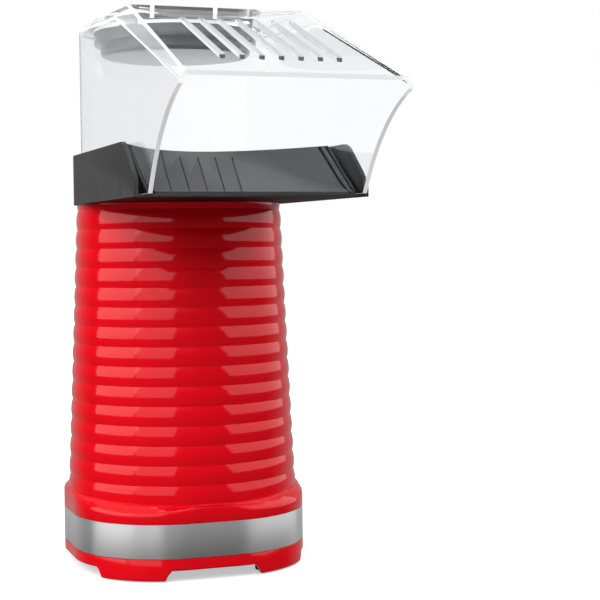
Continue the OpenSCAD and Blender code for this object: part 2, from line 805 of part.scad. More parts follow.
module motor_can() {
  color([0.6, 0.6, 0.62]) difference() {
    translate([0, 0, can_z]) cylinder(r = can_r, h = can_h);
    translate([0, 0, can_z - 1]) cylinder(r = can_r - can_wall, h = can_h - can_wall - 2 + 1);
    translate([0, 0, can_z]) cylinder(r = bush_r + 0.05, h = can_h + 1);
    for (a = [0, 180]) rotate([0, 0, a])
      translate([motor_screw_at, 0, bracket_z - 5]) cylinder(r = pilot_r, h = 6);
  }
}

module motor_endcap() {
  color([0.9, 0.9, 0.85]) difference() {
    translate([0, 0, endcap_z]) cylinder(r = can_r, h = endcap_h);
    translate([0, 0, endcap_z - 1]) cylinder(r = bush_r + 0.05, h = endcap_h + 2);
  }
}

module motor_magnets() {
  gap_half = 4;
  color([0.25, 0.25, 0.27]) difference() {
    translate([0, 0, can_z + magnet_in])
      ring(can_r - can_wall - 0.05, can_r - can_wall - magnet_t, can_h - 2 * magnet_in - 1);
    translate([-gap_half, -big / 2, 0]) cube([2 * gap_half, big, big]);
  }
}

module bushing(h) {
  color("goldenrod") ring(bush_r, shaft_r + shaft_fit, h);
}

module upper_bushing() {
  translate([0, 0, bracket_z - 3]) bushing(5);
}

module lower_bushing() {
  translate([0, 0, endcap_z]) bushing(endcap_h);
}

module motor_shaft() {
  color("silver") translate([0, 0, endcap_z + 0.5]) cylinder(r = shaft_r, h = fan_z + fan_h - endcap_z + 1);
}

module armature() {
  slots = 7;
  core_r = can_r - can_wall - magnet_t - rotor_gap;
  color([0.6, 0.35, 0.2]) difference() {
    union() {
      translate([0, 0, can_z + 8]) cylinder(r = core_r, h = can_h - 17);
      translate([0, 0, can_z + 1]) cylinder(r = 4, h = 7 + tiny);
    }
    translate([0, 0, can_z]) cylinder(r = shaft_r + 0.02, h = can_h);
    for (i = [0 : slots - 1]) rotate([0, 0, i * 360 / slots])
      translate([core_r - 3, -0.8, can_z + 7.9]) cube([5, 1.6, can_h]);
  }
}

module fan() {
  blade_pitch = 35;
  color([0.85, 0.85, 0.8]) difference() {
    union() {
      translate([0, 0, fan_z]) cylinder(r = hub_r, h = fan_h);
      intersection() {
        for (i = [0 : fan_blades - 1]) rotate([0, 0, i * 360 / fan_blades])
          translate([0, 0, fan_z + fan_h / 2]) rotate([blade_pitch, 0, 0])
            translate([hub_r - 1, -blade_t / 2, -fan_h]) cube([fan_r, blade_t, 2 * fan_h]);
        translate([0, 0, fan_z]) cylinder(r = fan_r, h = fan_h);
      }
    }
    translate([0, 0, fan_z - 1]) cylinder(r = shaft_r + 0.02, h = fan_h + 2);
  }
}

// ---- electrics ----

module rectifier_board() {
  board_z = endcap_z - board_t;
  color([0.15, 0.4, 0.2]) translate([0, 0, board_z]) cylinder(r = can_r - 2, h = board_t);
  color([0.1, 0.1, 0.1]) for (x = [-9, -3, 3, 9])
    translate([x, -4, board_z - diode_h + tiny]) cube([diode_h, 8, diode_h]);
}

module terminal_block() {
  color([0.9, 0.9, 0.88]) difference() {
    translate([-14, lead_y - 6, plate_top]) cube([28, 12, terminal_h]);
    for (x = [-3, -1, 1, 3]) translate([x * lead_x, lead_y, plate_top + terminal_deep])
      cylinder(r = lead_r + 0.8, h = terminal_h);
  }
}

module switch_leads() {
  color("blue") for (sx = [-1, 1])
    translate([sx * lead_x, lead_y, plate_top + terminal_deep])
      cylinder(r = lead_r, h = tab_z - plate_top - terminal_deep);
}

module switch_housing() {
  back = switch_face - 14;
  half = switch_w / 2 - 1.5;
  color([0.1, 0.1, 0.1]) difference() {
    union() {
      translate([-switch_w / 2, switch_face, switch_z - switch_h / 2]) cube([switch_w, 2, switch_h]);
      translate([-half, back, switch_z - switch_h / 2 + 1.5])
        cube([2 * half, switch_face - back + tiny, switch_h - 3]);
      for (sx = [-1, 1]) translate([sx * lead_x - 1.6, lead_y - 1.6, tab_z])
        cube([3.2, back - lead_y + 1.6 + tiny, 0.8]);
    }
    translate([-well_w / 2, switch_face - 8, switch_z - well_h / 2]) cube([well_w, 20, well_h]);
    translate([-pin_half - loose, rocker_y, switch_z]) rotate([0, 90, 0])
      cylinder(r = 1.05, h = 2 * (pin_half + loose));
  }
}

module rocker() {
  dip = 1.4;
  tail = 2.5;
  nose = switch_face + 2.3 - rocker_y;
  color([0.12, 0.12, 0.12]) translate([0, rocker_y, switch_z]) rotate([rocker_throw / 2, 0, 0]) {
    translate([-rocker_w / 2, 0, 0]) rotate([90, 0, 90]) linear_extrude(rocker_w)
      polygon([[-tail, -rocker_half], [nose, -rocker_half], [nose - dip, 0],
        [nose, rocker_half], [-tail, rocker_half]]);
    translate([-pin_half, 0, 0]) rotate([0, 90, 0]) cylinder(r = 1, h = 2 * pin_half);
  }
}

module cord_gland() {
  inner_end = base_half - 12;
  color([0.1, 0.1, 0.1]) translate([0, 0, gland_z]) rotate([-90, 0, 0]) difference() {
    union() {
      translate([0, 0, inner_end]) cylinder(r = gland_r, h = base_half - inner_end + tiny);
      translate([0, 0, base_half]) cylinder(r = gland_r + 2.6, h = 2.4);
    }
    translate([0, 0, inner_end - 1]) cylinder(r = gland_bore, h = 20);
  }
}

module gland_nut() {
  color([0.1, 0.1, 0.1]) translate([0, base_half - base_wall - 4, gland_z]) rotate([-90, 0, 0])
    difference() {
      cylinder(r = gland_r + 3.2, h = 4, $fn = 6);
      translate([0, 0, -1]) cylinder(r = gland_r + snug, h = 6);
    }
}

translate([0, axis_y, 0]) {
  base_shell();
  steel_band();
  bottom_plate();
  rubber_feet();
  plate_screws();
  motor_posts();
  post_screws();
  body_shell();
  body_screws();
  collar_tray();
  chute_deck();
  chute_screws();
  hood();
  measuring_cup();
  popping_chamber();
  chamber_gasket();
  heat_shield();
  mica_frame();
  heating_coil();
  thermostat();
  thermal_fuse();
  fan_duct();
  motor_bracket();
  bracket_screws();
  motor_screws();
  motor_can();
  motor_endcap();
  motor_magnets();
  upper_bushing();
  lower_bushing();
  motor_shaft();
  armature();
  fan();
  rectifier_board();
  terminal_block();
  switch_leads();
  switch_housing();
  rocker();
  cord_gland();
  gland_nut();
}
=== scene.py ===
"""Hot-air popcorn maker, dressed round its packed frame. All lengths are in metres."""
from math import atan2, ceil, cos, hypot, pi, radians, sin, tan

import bmesh
import bpy
from bpy.props import FloatProperty, FloatVectorProperty, IntProperty, PointerProperty
from mathutils import Matrix, Vector
from mathutils.bvhtree import BVHTree


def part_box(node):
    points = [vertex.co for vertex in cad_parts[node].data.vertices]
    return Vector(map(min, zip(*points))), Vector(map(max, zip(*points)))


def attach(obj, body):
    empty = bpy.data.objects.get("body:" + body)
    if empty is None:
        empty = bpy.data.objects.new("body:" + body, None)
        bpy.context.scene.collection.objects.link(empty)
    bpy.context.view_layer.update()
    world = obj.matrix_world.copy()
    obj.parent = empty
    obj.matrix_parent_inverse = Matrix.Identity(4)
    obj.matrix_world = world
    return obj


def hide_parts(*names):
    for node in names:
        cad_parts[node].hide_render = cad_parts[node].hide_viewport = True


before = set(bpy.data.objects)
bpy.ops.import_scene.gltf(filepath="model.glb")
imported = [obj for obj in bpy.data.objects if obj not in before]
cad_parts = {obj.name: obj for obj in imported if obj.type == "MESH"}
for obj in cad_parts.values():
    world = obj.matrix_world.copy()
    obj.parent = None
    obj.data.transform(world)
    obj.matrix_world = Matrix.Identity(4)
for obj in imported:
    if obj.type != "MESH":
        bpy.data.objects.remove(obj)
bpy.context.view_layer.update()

bl_info = {
    "name": "Popcorn Maker",
    "version": (1, 0, 0),
    "blender": (4, 5, 0),
    "location": "View3D > Sidebar > Popcorn Maker",
    "description": "Builds the skins, clear hood, cup and finishes of a hot-air popcorn maker on its frame",
    "category": "Add Mesh",
}

MM = 0.001
AXIS = Vector((0, sum(corner.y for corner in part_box("measuring_cup")) / 2, 0))


def axis_box(node):
    """Corners of a CAD node's box, measured from the foot of the body's axis."""
    return tuple(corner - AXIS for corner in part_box(node))


BODY_HIGH = axis_box("body_shell")[1]
BASE_LOW, BASE_HIGH = axis_box("base_shell")
BAND_LOW, BAND_HIGH = axis_box("steel_band")
HOOD_LOW, HOOD_HIGH = axis_box("hood")
CUP_LOW, CUP_HIGH = axis_box("measuring_cup")
RIM_PROUD = 4.3 * MM
HOOD_TOP = CUP_HIGH.z - RIM_PROUD


# ---------------------------------------------------------------- sizes and colours


def length_prop(name, text, default):
    """Length that a user can set."""
    return FloatProperty(name=name, description=text, default=default, unit="LENGTH")


def color_prop(name, text, default):
    """Colour that a user can set."""
    return FloatVectorProperty(name=name, description=text, subtype="COLOR", size=3, min=0, max=1,
                               default=default)


class PlinthSizes(bpy.types.PropertyGroup):
    """Sizes of the red plinth and its band"""

    corner_radius: length_prop("Corner radius", "Radius of the plan's corners", 0.056)
    wall: length_prop("Wall", "Wall of the plinth", 0.0026)
    shoulder_height: length_prop("Shoulder height", "Height of the body's seat at the axis", 0.0459)
    shoulder_tilt: FloatProperty(name="Shoulder tilt", description="Forward tilt of the seat",
                                 default=radians(3.1), subtype="ANGLE")
    shoulder_fall: FloatProperty(name="Shoulder fall", description="Drop of the shoulder per unit outwards",
                                 default=0.7)
    edge: length_prop("Edge radius", "Radius of the plinth's edges", 0.0013)
    seam: length_prop("Seam", "Gap along the band", 0.00022)


class BodySizes(bpy.types.PropertyGroup):
    """Sizes of the ribbed body"""

    radius_low: length_prop("Lower radius", "Crest radius at the foot", 0.0679)
    radius_top: length_prop("Upper radius", "Crest radius at the top", 0.0605)
    rib_pitch: length_prop("Rib pitch", "Height of one rib", 0.0111)
    rib_depth: length_prop("Rib depth", "Depth of the grooves", 0.0008)
    first_groove: length_prop("First groove", "Distance of the first groove under the top", 0.0037)
    around: IntProperty(name="Steps around", description="Faces round the body", default=176, min=48)
    per_rib: IntProperty(name="Steps per rib", description="Rows of faces in a rib", default=9, min=4)


class HoodSizes(bpy.types.PropertyGroup):
    """Sizes of the clear hood and its vents"""

    wall: length_prop("Wall", "Wall of the hood", 0.0022)
    bend: length_prop("Bend", "Distance of the bend in front of the axis", 0.0915)
    drop: length_prop("Drop", "Drop of the top towards the front", 0.0484)
    step: length_prop("Cheek foot", "Distance of the cheek's foot in front of the axis", 0.1585)
    rear_rise: length_prop("Rear rise", "Rise of the top from the bend to the rear", 0.0042)
    round_seat: length_prop("Rear edge size", "Size of the upper edge round the cup", 0.0045)
    round_rear: length_prop("Bend edge size", "Size of the upper edge at the bend", 0.007)
    round_front: length_prop("Front edge size", "Size of the upper edge at the front", 0.0034)
    seat: length_prop("Cup seat", "Radius of the recess under the cup's rim", 0.0506)
    hole: length_prop("Cup hole", "Radius of the cup's hole", 0.0477)
    vents: IntProperty(name="Vents", description="Number of vent slots", default=7, min=1)
    vent_pitch: length_prop("Vent pitch", "Spacing of the slots", 0.0099)
    vent_width: length_prop("Vent width", "Width of a slot", 0.0029)
    vent_rear: length_prop("Vent rear", "Rear end of the slots' straight part", 0.117)
    vent_front: length_prop("Vent front", "Front end of the slots' straight part", 0.188)
    vent_shift: length_prop("Vent shift", "Sideways place of the middle slot", 0.002)


class CupSizes(bpy.types.PropertyGroup):
    """Sizes of the measuring cup"""

    rim: length_prop("Rim radius", "Radius of the rim", 0.05)
    neck: length_prop("Neck radius", "Radius of the neck", 0.0472)
    bowl: length_prop("Bowl radius", "Radius of the bowl", 0.0436)
    rim_height: length_prop("Rim height", "Height of the rim", 0.004)
    neck_height: length_prop("Neck height", "Depth of the neck under the rim", 0.0098)
    wall: length_prop("Wall", "Wall of the cup", 0.0018)


class Finishes(bpy.types.PropertyGroup):
    """Colours of the visible finishes"""

    red: color_prop("Red", "Gloss red plastic", (0.86, 0.003, 0.011))
    charcoal: color_prop("Charcoal", "Collar and chute", (0.023, 0.023, 0.0235))
    steel: color_prop("Steel", "Brushed band", (0.93, 0.93, 0.935))
    smoke: color_prop("Smoke", "Measuring cup", (0.205, 0.208, 0.213))
    clear: color_prop("Clear", "Hood", (0.97, 0.98, 0.985))


# ---------------------------------------------------------------- mesh helpers

MERGE = 1e-6
WEIGHTED_NORMALS = ("WEIGHTED_NORMAL", {"keep_sharp": True, "weight": 100})


def edit(mesh, *jobs):
    """Runs jobs on a mesh's bmesh and writes it back."""
    work = bmesh.new()
    work.from_mesh(mesh)
    for job in jobs:
        job(work)
    work.to_mesh(mesh)
    work.free()
    return mesh


def face_outwards(work):
    """Turns all faces outwards."""
    bmesh.ops.recalc_face_normals(work, faces=work.faces)


def merge_doubles(work, reach=MERGE):
    """Merges points that lie within reach of each other."""
    bmesh.ops.remove_doubles(work, verts=work.verts, dist=reach)


def plain_mesh(name, points, faces):
    """Closed mesh from points and faces, with doubles merged and faces turned outwards."""
    mesh = bpy.data.meshes.new(name)
    mesh.from_pydata([tuple(p) for p in points], [], faces)
    return edit(mesh, merge_doubles, face_outwards)


def smooth(mesh, degrees=32):
    """Smooth shading, with edges sharper than an angle kept crisp."""
    mesh.polygons.foreach_set("use_smooth", [True] * len(mesh.polygons))
    mesh.set_sharp_from_angle(angle=radians(degrees))
    return mesh


def new_object(name, data):
    """Object in the scene that holds the given data."""
    made = bpy.data.objects.new(name, data)
    bpy.context.scene.collection.objects.link(made)
    return made


def place_piece(mesh, name, body, materials, nodes=()):
    """Moves a mesh drawn about the axis into place, as a piece of a body that may stand for CAD nodes."""
    mesh.transform(Matrix.Translation(AXIS))
    piece = new_object(name, mesh)
    if len(mesh.materials) != len(materials):
        set_materials(mesh, materials)
    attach(piece, body)
    if nodes:
        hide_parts(*nodes)
    return piece


def set_materials(mesh, materials):
    """Gives a mesh these material slots and no others."""
    mesh.materials.clear()
    for material in materials:
        mesh.materials.append(material)


def paint_faces(piece, slot_index, chosen):
    """Gives the faces that a test picks, by middle (measured from the axis) and normal, another finish."""
    for face in piece.data.polygons:
        if chosen(face.center - AXIS, face.normal):
            face.material_index = slot_index


def evaluated_mesh(holder):
    """The mesh of a holder with its modifiers applied; the holder is removed."""
    depsgraph = bpy.context.evaluated_depsgraph_get()
    depsgraph.update()
    mesh = bpy.data.meshes.new_from_object(holder.evaluated_get(depsgraph), depsgraph=depsgraph)
    bpy.data.objects.remove(holder)
    return mesh


def finished(mesh, *steps):
    """Applies modifiers, each (kind, {setting: value}), and returns the new mesh."""
    holder = new_object("holder", mesh)
    for kind, settings in steps:
        modifier = holder.modifiers.new(kind.lower(), kind)
        for key, value in settings.items():
            setattr(modifier, key, value)
    return evaluated_mesh(holder)


def run_tree(source, tree, values):
    """Runs a geometry tree with named input values on a mesh and returns a plain mesh."""
    holder = new_object("holder", source or bpy.data.meshes.new("empty"))
    modifier = holder.modifiers.new("tree", "NODES")
    modifier.node_group = tree
    names = {item.name: item.identifier for item in tree.interface.items_tree
             if item.item_type == "SOCKET" and item.in_out == "INPUT"}
    for key, value in values.items():
        modifier[names[key]] = value
    return evaluated_mesh(holder)


def bevel(width, segments=2, degrees=35, **more):
    """Modifier step: a bevel on every edge sharper than an angle."""
    return ("BEVEL", {"width": width, "segments": segments, "limit_method": "ANGLE",
                      "angle_limit": radians(degrees), "use_clamp_overlap": True,
                      "miter_outer": "MITER_ARC", **more})


def cut_away(mesh, cutter_mesh):
    """Mesh less a closed cutter."""
    cutter = new_object("cutter", cutter_mesh)
    mesh = finished(mesh, ("BOOLEAN", {"object": cutter, "operation": "DIFFERENCE", "solver": "EXACT"}))
    bpy.data.objects.remove(cutter)
    return mesh


def softened_copy(node, width, segments=2, flat=0.6):
    """Copy of a CAD node's mesh, merged, its faces within flat degrees made whole and its edges rounded."""
    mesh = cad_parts[node].data.copy()
    mesh.transform(Matrix.Translation(-AXIS))

    def make_whole(work):
        merge_doubles(work, 2 * MERGE)
        bmesh.ops.dissolve_limit(work, angle_limit=radians(flat), verts=work.verts, edges=work.edges)

    return smooth(finished(edit(mesh, make_whole), bevel(width, segments)))


def bezier(a, b, c, t):
    """Point of a quadratic curve from a to c that leans towards b."""
    return (1 - t) ** 2 * a + 2 * t * (1 - t) * b + t * t * c


def rounded_profile(corners, steps=4):
    """Closed outline of (r, z, radius) corners with each corner off the axis rounded off."""
    outline = []
    spots = [Vector(corner[:2]) for corner in corners]
    for i, here in enumerate(spots):
        before, after = spots[i - 1] - here, spots[(i + 1) % len(spots)] - here
        reach = min(corners[i][2], 0.45 * before.length, 0.45 * after.length)
        if reach < MERGE:
            outline.append(here)
            continue
        start, end = here + before.normalized() * reach, here + after.normalized() * reach
        outline += [bezier(start, here, end, k / steps) for k in range(steps + 1)]
    return outline


def turned_mesh(name, outline, around):
    """Closed mesh of an outline turned about the upright axis."""
    on_axis = 1e-7
    count = len(outline)
    points, faces = [], []
    for i in range(around):
        a = 2 * pi * i / around
        points += [(p.x * cos(a), p.x * sin(a), p.y) for p in outline]
        for k in range(count):
            j, m = (i + 1) % around, (k + 1) % count
            if outline[k].x > on_axis or outline[m].x > on_axis:
                faces.append((i * count + k, j * count + k, j * count + m, i * count + m))
    return plain_mesh(name, points, faces)


def swept(sections, closed=False):
    """Points and faces of sections joined one to the next, with end caps unless the sweep is closed."""
    count = len(sections[0])
    points = [p for section in sections for p in section]
    faces = []
    for i in range(len(sections) - (not closed)):
        j = (i + 1) % len(sections)
        for k in range(count):
            m = (k + 1) % count
            faces.append((i * count + k, j * count + k, j * count + m, i * count + m))
    if not closed:
        faces += [tuple(range(count)), tuple(range(len(points) - count, len(points)))]
    return points, faces


def swept_mesh(name, sweeps):
    """Closed mesh of capped sweeps, each a list of sections."""
    points, faces = [], []
    for sections in sweeps:
        more, joined = swept(sections)
        faces += [tuple(len(points) + i for i in face) for face in joined]
        points += more
    return plain_mesh(name, points, faces)


# ---------------------------------------------------------------- node helpers


def spaced(values):
    """Input names from keywords, in which underscores stand for blanks."""
    return {key.replace("_", " "): value for key, value in values.items()}


def feed(tree, node, values):
    """Links sockets to a node's inputs, or sets the inputs where a value is given."""
    for key, value in values.items():
        if isinstance(value, bpy.types.NodeSocket):
            tree.links.new(value, node.inputs[key])
        else:
            node.inputs[key].default_value = value


def add(tree, kind, values=None, **settings):
    """New node with attributes set and inputs fed."""
    node = tree.nodes.new(kind)
    for key, value in settings.items():
        setattr(node, key, value)
    feed(tree, node, values or {})
    return node


def math(tree, operation, *values):
    """Math node fed by sockets or numbers; returns its output."""
    return add(tree, "ShaderNodeMath", dict(enumerate(values)), operation=operation).outputs[0]


def joined(tree, **parts):
    """Vector from its X, Y and Z."""
    return add(tree, "ShaderNodeCombineXYZ", parts).outputs[0]


def parted(tree, vector):
    """X, Y and Z of a vector, as outputs."""
    return add(tree, "ShaderNodeSeparateXYZ", {0: vector}).outputs


def noise(tree, vector, scale, detail, roughness=0.5):
    """Value of a noise texture."""
    return add(tree, "ShaderNodeTexNoise", {"Vector": vector, "Scale": scale, "Detail": detail,
                                            "Roughness": roughness}).outputs[0]


def bump(tree, height):
    """Normal from a height that is in millimetres."""
    return add(tree, "ShaderNodeBump", {"Strength": 1.0, "Distance": MM, "Height": height}).outputs["Normal"]


def mixed(tree, factor, a, b):
    """Colour between a and b."""
    return add(tree, "ShaderNodeMix", {"Factor": factor, "A": a, "B": b}, data_type="RGBA").outputs["Result"]


def ranged(tree, value, low, high, start=0.0, end=1.0, kind="SMOOTHSTEP"):
    """Value moved from the range low to high into the range start to end."""
    return add(tree, "ShaderNodeMapRange", {"Value": value, "From Min": low, "From Max": high,
                                            "To Min": start, "To Max": end},
               interpolation_type=kind).outputs["Result"]


def new_tree(name, kind, inputs, outputs):
    """Empty node tree with named sockets; returns the tree, what it is given and what it gives out."""
    tree = bpy.data.node_groups.new(name, kind)
    for label, (socket_kind, default) in inputs.items():
        socket = tree.interface.new_socket(label, in_out="INPUT", socket_type="NodeSocket" + socket_kind)
        if default is not None:
            socket.default_value = default
    for label, socket_kind in outputs.items():
        tree.interface.new_socket(label, in_out="OUTPUT", socket_type="NodeSocket" + socket_kind)
    return tree, tree.nodes.new("NodeGroupInput").outputs, tree.nodes.new("NodeGroupOutput")


def geometry_tree(name, numbers, **others):
    """Empty geometry tree with a geometry in and out, and named inputs."""
    inputs = {"Geometry": ("Geometry", None)}
    inputs.update({label: ("Int" if isinstance(value, int) else "Float", value)
                   for label, value in numbers.items()})
    inputs.update({label: (kind, None) for label, kind in spaced(others).items()})
    return new_tree(name, "GeometryNodeTree", inputs, {"Geometry": "Geometry"})


def painted(tree, geometry, material):
    """Geometry made real, with its material set."""
    real = add(tree, "GeometryNodeRealizeInstances", {"Geometry": geometry}).outputs[0]
    return add(tree, "GeometryNodeSetMaterial", {"Geometry": real, "Material": material}).outputs[0]


# ---------------------------------------------------------------- surfaces


def moulding_group():
    """Slow waviness, fine tooth and haze of moulded plastic: roughness, mask and normal."""
    tree, given, out = new_tree("Moulded Surface", "ShaderNodeTree", {
        "Vector": ("Vector", None), "Roughness": ("Float", 0.3), "Roughness Spread": ("Float", 0.05),
        "Wave Scale": ("Float", 60.0), "Wave Height": ("Float", 0.02),
        "Tooth Scale": ("Float", 2500.0), "Tooth Height": ("Float", 0.02),
    }, {"Roughness": "Float", "Mask": "Float", "Normal": "Vector"})
    wave = noise(tree, given["Vector"], given["Wave Scale"], 2.0)
    tooth = noise(tree, given["Vector"], given["Tooth Scale"], 3.0, 0.6)
    haze = noise(tree, given["Vector"], 22.0, 4.0)
    spread = math(tree, "MULTIPLY", math(tree, "SUBTRACT", haze, 0.5), given["Roughness Spread"])
    slow = math(tree, "MULTIPLY", wave, given["Wave Height"])
    fine = math(tree, "MULTIPLY", tooth, given["Tooth Height"])
    feed(tree, out, {"Roughness": math(tree, "ADD", spread, given["Roughness"]), "Mask": haze,
                     "Normal": bump(tree, math(tree, "ADD", slow, fine))})
    return tree


def edge_wear_group():
    """Pale rubbed edges, broken up, from the surface's own bend."""
    tree, given, out = new_tree("Rubbed Edges", "ShaderNodeTree", {
        "Vector": ("Vector", None), "Color": ("Color", (0.5, 0.5, 0.5, 1)),
        "Worn Color": ("Color", (0.8, 0.8, 0.8, 1)), "Amount": ("Float", 0.2),
    }, {"Color": "Color"})
    shape = add(tree, "ShaderNodeNewGeometry").outputs["Pointiness"]
    raised = ranged(tree, shape, 0.52, 0.66, kind="LINEAR")
    patchy = math(tree, "MULTIPLY", raised, noise(tree, given["Vector"], 90.0, 5.0))
    amount = math(tree, "MULTIPLY", patchy, given["Amount"])
    feed(tree, out, {"Color": mixed(tree, amount, given["Color"], given["Worn Color"])})
    return tree


def grain_group():
    """Straight brushed grain along X or U: roughness, mask and normal."""
    tree, given, out = new_tree("Brushed Grain", "ShaderNodeTree", {
        "Vector": ("Vector", None), "Along": ("Float", 14.0), "Across": ("Float", 2600.0),
        "Roughness": ("Float", 0.3), "Height": ("Float", 0.02),
    }, {"Roughness": "Float", "Mask": "Float", "Normal": "Vector"})
    part = parted(tree, given["Vector"])
    stretched = joined(tree, X=math(tree, "MULTIPLY", part["X"], given["Along"]),
                       Y=math(tree, "MULTIPLY", part["Y"], given["Across"]))
    lines = noise(tree, stretched, 1.0, 4.0, 0.65)
    streaks = math(tree, "MULTIPLY", math(tree, "SUBTRACT", lines, 0.5), 0.22)
    feed(tree, out, {"Roughness": math(tree, "ADD", streaks, given["Roughness"]), "Mask": lines,
                     "Normal": bump(tree, math(tree, "MULTIPLY", lines, given["Height"]))})
    return tree


SHARED_GROUPS = {}
MADE_MATERIALS = {}


def group_node(tree, maker, **values):
    """Outputs of a shared group, built once, with its inputs fed."""
    if maker not in SHARED_GROUPS:
        SHARED_GROUPS[maker] = maker()
    return add(tree, "ShaderNodeGroup", spaced(values), node_tree=SHARED_GROUPS[maker]).outputs


def new_material(name):
    """Material with a bare Principled shader; returns (material, tree, shader)."""
    material = bpy.data.materials.new(name)
    material.use_nodes = True
    return material, material.node_tree, material.node_tree.nodes["Principled BSDF"]


def scaled(color, factor):
    """Colour made darker or lighter."""
    return tuple(min(1.0, c * factor) for c in color)


def dressed(name, maker, surface, darker, lighter, worn=None, wear=0.25, coords="Object", **sockets):
    """Material, made once, whose surface group gives roughness, normal and a mask between two colours.

    Edges may be rubbed to a worn colour. The other keywords are the shader's own sockets.
    """
    if name in MADE_MATERIALS:
        return MADE_MATERIALS[name]
    material, tree, shader = new_material(name)
    place = add(tree, "ShaderNodeTexCoord").outputs[coords]
    skin = group_node(tree, maker, Vector=place, **surface)
    paint = mixed(tree, skin["Mask"], (*darker, 1), (*lighter, 1))
    if worn is not None:
        paint = group_node(tree, edge_wear_group, Vector=place, Color=paint, Amount=wear,
                           Worn_Color=(*worn, 1))["Color"]
    feed(tree, shader, {"Base Color": paint, "Roughness": skin["Roughness"], "Normal": skin["Normal"],
                        **spaced(sockets)})
    MADE_MATERIALS[name] = material
    return material


def moulded_plastic(name, color, roughness, spread=0.05, wave=0.02, tooth=0.0, wave_scale=60.0,
                    tooth_scale=2500.0, tint=0.08, **more):
    """Moulded plastic or rubber: tinted unevenly, with waviness, tooth and rubbed edges."""
    surface = {"Roughness": roughness, "Roughness_Spread": spread, "Wave_Scale": wave_scale,
               "Wave_Height": wave, "Tooth_Scale": tooth_scale, "Tooth_Height": tooth}
    return dressed(name, moulding_group, surface, scaled(color, 1 - tint), scaled(color, 1 + tint), **more)


def metal(name, color, roughness, along=14.0, across=2600.0, height=0.02, tint=0.12, metallic=1.0, **more):
    """Brushed, drawn or plated metal with grain."""
    surface = {"Along": along, "Across": across, "Roughness": roughness, "Height": height}
    return dressed(name, grain_group, surface, scaled(color, 1 - tint), scaled(color, 1 + tint),
                   Metallic=metallic, **more)


def clear_plastic(name, color, roughness, spread=0.02, wave=0.01, transmission=1.0, **more):
    """See-through plastic with a slight moulding ripple."""
    surface = {"Roughness": roughness, "Roughness_Spread": spread, "Wave_Scale": 40.0,
               "Wave_Height": wave, "Tooth_Height": 0.0}
    return dressed(name, moulding_group, surface, scaled(color, 0.985), color,
                   Transmission_Weight=transmission, Metallic=0.0, **more)


def chosen_color(key):
    """Colour that the user has set for a finish."""
    return tuple(getattr(bpy.context.scene.popper_finishes, key))


def gloss_red():
    """Body and plinth."""
    return moulded_plastic("gloss_red", chosen_color("red"), 0.10, wave=0.018, wave_scale=45.0, tint=0.03,
                           IOR=1.5, Coat_Weight=0.25)


def charcoal():
    """Outside of the collar."""
    return moulded_plastic("charcoal", chosen_color("charcoal"), 0.36, spread=0.08, tooth=0.012, tint=0.06,
                           worn=(0.16, 0.16, 0.165), wear=0.5, IOR=1.5, Specular_IOR_Level=0.35)


def ramp_charcoal():
    """Deck and ramp, duller than the collar and painted paler: the extra paleness is a painted sheen in
    place of the reflection that the low specular leaves out.
    """
    # Charcoal scaled 2.1 times paler as painted sheen.
    return moulded_plastic("ramp_charcoal", tuple(2.1 * c for c in chosen_color("charcoal")), 0.5,
                           wave_scale=35.0, tooth=0.003, tint=0.05, worn=(0.18, 0.18, 0.185), wear=0.5,
                           IOR=1.5, Specular_IOR_Level=0.2)


def matt_black():
    """Undersides and channel walls of the collar, moulded with a matt grain; its near-black colour is
    painted shade, and in the ramp's slanting grooves a painted reflection of the vents.
    """
    return moulded_plastic("matt_black", (0.007, 0.007, 0.0075), 0.6, spread=0.1, tooth=0.03, tint=0.1,
                           Specular_IOR_Level=0.2)


def black_texture():
    """Textured black fittings."""
    return moulded_plastic("black_texture", (0.022, 0.022, 0.023), 0.5, spread=0.1, tooth=0.05,
                           worn=(0.07, 0.07, 0.07))


def soft_rubber():
    """Foot pads."""
    return moulded_plastic("soft_rubber", (0.03, 0.03, 0.03), 0.75, spread=0.12, tooth=0.08,
                           tooth_scale=1500.0, worn=(0.09, 0.09, 0.09))


def smoke_plastic():
    """Measuring cup."""
    return clear_plastic("smoke_plastic", chosen_color("smoke"), 0.16, spread=0.06, wave=0.02,
                         transmission=0.6, IOR=1.46)


def brushed_band():
    """Steel band, brushed along its length."""
    return metal("brushed_band", chosen_color("steel"), 0.42, along=30.0, across=9000.0, height=0.001,
                 tint=0.06, coords="UV", metallic=0.78, Anisotropic=1.0, Anisotropic_Rotation=0.25)


def hood_clear():
    """Walls of the hood."""
    return clear_plastic("hood_clear", chosen_color("clear"), 0.02, wave=0.008, IOR=1.2)


def hood_edge():
    """Cut edges of the clear plastic, milky white with a painted glow (emission) standing for the light they
    catch.
    """
    return moulded_plastic("hood_edge", (0.93, 0.94, 0.945), 0.2, wave=0.03, tint=0.03, IOR=1.45,
                           Transmission_Weight=0.1, Emission_Color=(1, 1, 1, 1), Emission_Strength=0.26)


def hood_top():
    """Thin flat top of the hood, which hardly mirrors."""
    return clear_plastic("hood_top", chosen_color("clear"), 0.02, wave=0.004, IOR=1.012)


def slot_wall():
    """Walls of the vent slots."""
    return moulded_plastic("slot_wall", (0.64, 0.645, 0.65), 0.25, tint=0.05, IOR=1.2,
                           Transmission_Weight=0.4)


def slot_end():
    """Front ends of the slots, painted dark as a painted reflection of the dark room."""
    return moulded_plastic("slot_end", (0.05, 0.05, 0.052), 0.2, tint=0.05)


def hood_bevel():
    """Sloping edge of the top, slightly hazed, with a faint painted glow (emission)."""
    return clear_plastic("hood_bevel", chosen_color("clear"), 0.04, wave=0.006, transmission=0.9, IOR=1.002,
                         Emission_Color=(1, 1, 1, 1), Emission_Strength=0.03)


def plated_screw():
    """Plated steel screws and the motor's shaft."""
    return metal("plated_screw", (0.6, 0.6, 0.62), 0.28, along=400.0, across=400.0)


